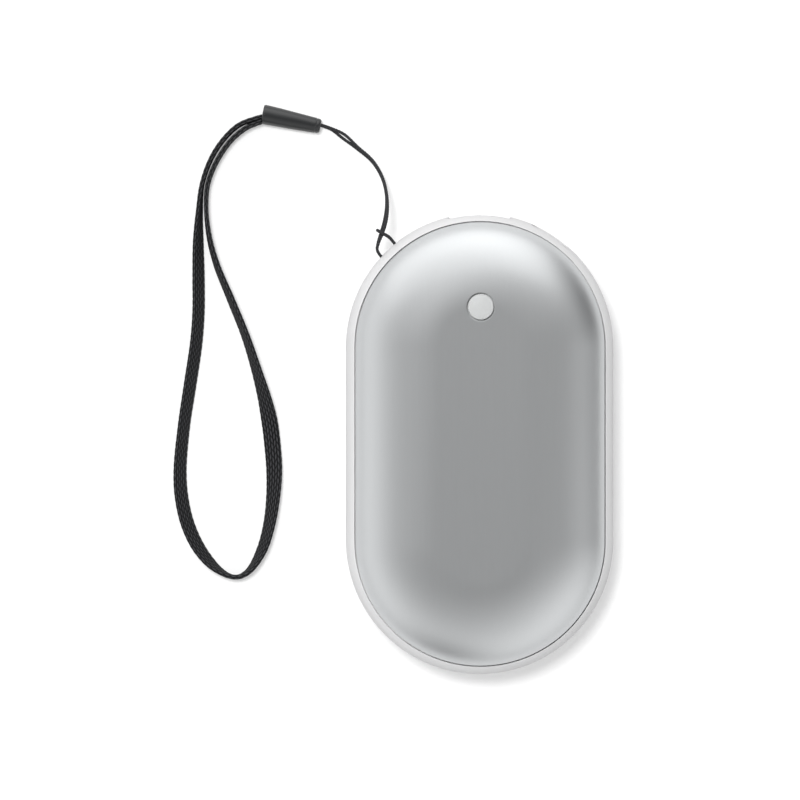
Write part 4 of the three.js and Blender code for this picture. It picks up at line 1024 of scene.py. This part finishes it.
class HANDWARMER_OT_sockets(Operator):
    """Adds the two sockets' contacts and springs, dressed in gold and steel"""

    bl_idname = "handwarmer.sockets"
    bl_label = "Sockets"

    def bars(self, name, places, width, length, thick, bend):
        """Thin bars along Y at places (x, y, z), whose free ends bend towards Z by a height."""
        points, faces, corners = [], [], len(BAR_SECTION_SHARES)
        for x, y, z in places:
            lean = bend if z < 0 else -bend
            start = len(points)
            for share in np.linspace(0, 1, BAR_STEPS + 1):
                lift = lean * math.sin(math.pi * min(share / BAR_BEND_SHARE, 1)) ** 2
                tip = max(share - 1 + BAR_TIP_SHARE, 0) / BAR_TIP_SHARE
                half = width / 2 * (1 - BAR_TAPER_SHARE * tip)
                for across, up in BAR_SECTION_SHARES:
                    points.append((x + across * half, y - share * length, z + lift + up * thick / 2))
            faces += [tuple(start + i for i in face) for face in grid_faces(BAR_STEPS + 1, corners)]
            faces += [tuple(range(first, first + corners)) for first in (start, len(points) - corners)]
        return finish_mesh(name, points, faces)

    def execute(self, context):
        gold, steel = plain_finish("contact_gold"), plain_finish("bright_steel")
        level = level_of("usb_a_shell")
        y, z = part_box("usb_a_tongue")[1].y - USB_A_CONTACT_SETBACK, level + USB_A_CONTACT_LIFT
        contacts = self.bars("usb_a_contacts", [(x, y, z) for x in USB_A_CONTACT_PLACES], *USB_A_CONTACT)
        seat_on_body(contacts, gold)
        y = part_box("usb_a_shell")[1].y - USB_A_SPRING_SETBACK
        z = level - USB_A_HEIGHT / 2 + SOCKET_WALL + USB_A_SPRING_LIFT
        springs = self.bars("usb_a_springs", [(x, y, z) for x in USB_A_SPRING_PLACES], *USB_A_SPRING)
        seat_on_body(springs, steel)
        rows = (np.arange(USB_C_COLUMNS) - (USB_C_COLUMNS - 1) / 2) * USB_C_PITCH
        places = [(x, 0, side * USB_C_CONTACT_LIFT) for x in rows for side in (-1, 1)]
        pins = self.bars("usb_c_contacts", places, *USB_C_CONTACT)
        out = Vector((0, END_RADIUS - USB_C_CONTACT_SETBACK, level_of("usb_c_shell")))
        pins.data.transform(from_end(USB_C_DEGREES) @ Matrix.Translation(out))
        seat_on_body(pins, gold)
        return {"FINISHED"}


class HANDWARMER_OT_inside(Operator):
    """Dresses the pieces that stay as packed: sockets, cells, board, chassis and leads"""

    bl_idname = "handwarmer.inside"
    bl_label = "Inner Pieces"

    def execute(self, context):
        for subpart in frame["record"]["subparts"]:
            slot = subpart["material_slot"]
            if slot in PLAIN_FINISHES or slot == "clear_white":
                dress(NODES[subpart["node"]], plain_finish(slot))
        return {"FINISHED"}


class HANDWARMER_OT_stage(Operator):
    """Makes the camera, the white floor, the lamps and the room's light"""

    bl_idname = "handwarmer.stage"
    bl_label = "Stage"

    def camera(self, scene):
        camera = bpy.data.cameras.new("camera")
        camera.lens = CAMERA_LENS
        camera.clip_start, camera.clip_end = CAMERA_CLIP
        scene.camera = add_object("camera", camera)
        scene.camera.location = CAMERA_PLACE

    def floor(self):
        mesh = bpy.data.meshes.new("floor")
        corners = ((-1, -1), (1, -1), (1, 1), (-1, 1))
        mesh.from_pydata([(x * FLOOR_REACH, y * FLOOR_REACH, 0) for x, y in corners], [], [(0, 1, 2, 3)])
        floor = add_object("floor", mesh)
        floor.location.z = -FLOOR_DROP
        material = bpy.data.materials.new("white_floor")
        material.use_nodes = True
        tree = material.node_tree
        shader, grey = tree.nodes["Principled BSDF"], (FLOOR_GREY, FLOOR_GREY, FLOOR_GREY, 1)
        fill(tree, shader, Base_Color=grey, Roughness=0.8, Specular_IOR_Level=0.1)
        rays = tree.nodes.new("ShaderNodeLightPath").outputs
        mirrored = calc(tree, "MAXIMUM", rays["Is Glossy Ray"], rays["Is Transmission Ray"])
        mirrored = calc(tree, "MULTIPLY", mirrored, MIRRORED_LIFT)
        away = vector_math(tree, "LENGTH", Vector=object_place(tree)).outputs["Value"]
        near, far = FLOOR_LIFT_REACH
        share = add_node(tree, "ShaderNodeMapRange", Value=away, From_Min=near, From_Max=far)
        seen = spread(tree, share.outputs["Result"], *FLOOR_LIFT)
        strength = calc(tree, "MULTIPLY_ADD", rays["Is Camera Ray"], seen, mirrored)
        lift = add_node(tree, "ShaderNodeEmission", Color=(1, 1, 1, 1), Strength=strength)
        both = tree.nodes.new("ShaderNodeAddShader")
        feed(tree, shader.outputs[0], both.inputs[0])
        feed(tree, lift.outputs[0], both.inputs[1])
        feed(tree, both.outputs[0], tree.nodes["Material Output"].inputs["Surface"])
        dress(floor, material)

    def lamps(self):
        for name, place, (width, height), power, mirrored in LAMPS:
            light = bpy.data.lights.new(name, "AREA")
            light.shape, light.size, light.size_y, light.energy = "RECTANGLE", width, height, power
            lamp = add_object(name, light)
            lamp.location = place
            lamp.rotation_mode = "QUATERNION"
            lamp.rotation_quaternion = Vector(place).to_track_quat("Z", "Y")
            lamp.visible_glossy = mirrored
            lamp.visible_diffuse = not mirrored

    def room(self, scene):
        """White to the camera. Its light is paler at the horizon than overhead, and varied by cards."""
        world = bpy.data.worlds.new("room")
        world.use_nodes = True
        tree = world.node_tree
        background = tree.nodes["Background"]
        way = tree.nodes.new("ShaderNodeTexCoord").outputs["Generated"]
        height = add_node(tree, "ShaderNodeSeparateXYZ", Vector=way).outputs["Z"]
        ramp = add_node(tree, "ShaderNodeValToRGB", Fac=calc(tree, "MAXIMUM", height, 0.0))
        stops = ramp.color_ramp.elements
        for place, _ in ROOM_STOPS[1:-1]:
            stops.new(place)
        for (place, grey), stop in zip(ROOM_STOPS, stops):
            stop.position, stop.color = place, (grey, grey, grey, 1)
        light = ramp.outputs[0]
        for toward, narrow, change in ROOM_CARDS:
            facing = vector_math(tree, "DOT_PRODUCT", Vector=way)
            feed(tree, Vector(toward).normalized(), facing.inputs[1])
            facing = calc(tree, "MAXIMUM", facing.outputs["Value"], 0.0)
            card = calc(tree, "MULTIPLY_ADD", calc(tree, "POWER", facing, narrow), change, 1.0)
            light = shaded(tree, light, card)
        seen = tree.nodes.new("ShaderNodeLightPath").outputs["Is Camera Ray"]
        pick = add_node(tree, "ShaderNodeMix", {"data_type": "RGBA"})
        for i, value in zip(MIX_INPUTS, (seen, light, (1, 1, 1, 1))):
            feed(tree, value, pick.inputs[i])
        feed(tree, pick.outputs[MIX_OUTPUT], background.inputs["Color"])
        scene.world = world

    def execute(self, context):
        scene = context.scene
        scene.view_settings.view_transform = "Standard"
        self.camera(scene)
        self.floor()
        self.lamps()
        self.room(scene)
        return {"FINISHED"}


class HANDWARMER_PT_panel(Panel):
    """Lists the sizes, the colours and the steps that build the warmer"""

    bl_idname = "HANDWARMER_PT_panel"
    bl_label = "Hand Warmer"
    bl_space_type = "VIEW_3D"
    bl_region_type = "UI"
    bl_category = "Hand Warmer"

    def draw(self, context):
        for settings in (sizes(), colours()):
            box = self.layout.box()
            for name in settings.__annotations__:
                box.prop(settings, name)
        for step in STEPS:
            self.layout.operator(step.bl_idname)


# The stage first, then the strap, whose sleeve is on its string, and the other pieces from the outside in
STEPS = (
    HANDWARMER_OT_stage,
    HANDWARMER_OT_sleeve,
    HANDWARMER_OT_string,
    HANDWARMER_OT_band,
    HANDWARMER_OT_shells,
    HANDWARMER_OT_rim,
    HANDWARMER_OT_button,
    HANDWARMER_OT_sockets,
    HANDWARMER_OT_inside,
)
CLASSES = (HandWarmerSizes, HandWarmerColours, *STEPS, HANDWARMER_PT_panel)


def register():
    for kind in CLASSES:
        bpy.utils.register_class(kind)
    bpy.types.Scene.hand_warmer_sizes = PointerProperty(type=HandWarmerSizes)
    bpy.types.Scene.hand_warmer_colours = PointerProperty(type=HandWarmerColours)


def unregister():
    del bpy.types.Scene.hand_warmer_colours
    del bpy.types.Scene.hand_warmer_sizes
    for kind in reversed(CLASSES):
        bpy.utils.unregister_class(kind)


def main():
    register()
    for step in STEPS:
        group, name = step.bl_idname.split(".")
        getattr(getattr(bpy.ops, group), name)()


if __name__ == "__main__":
    main()
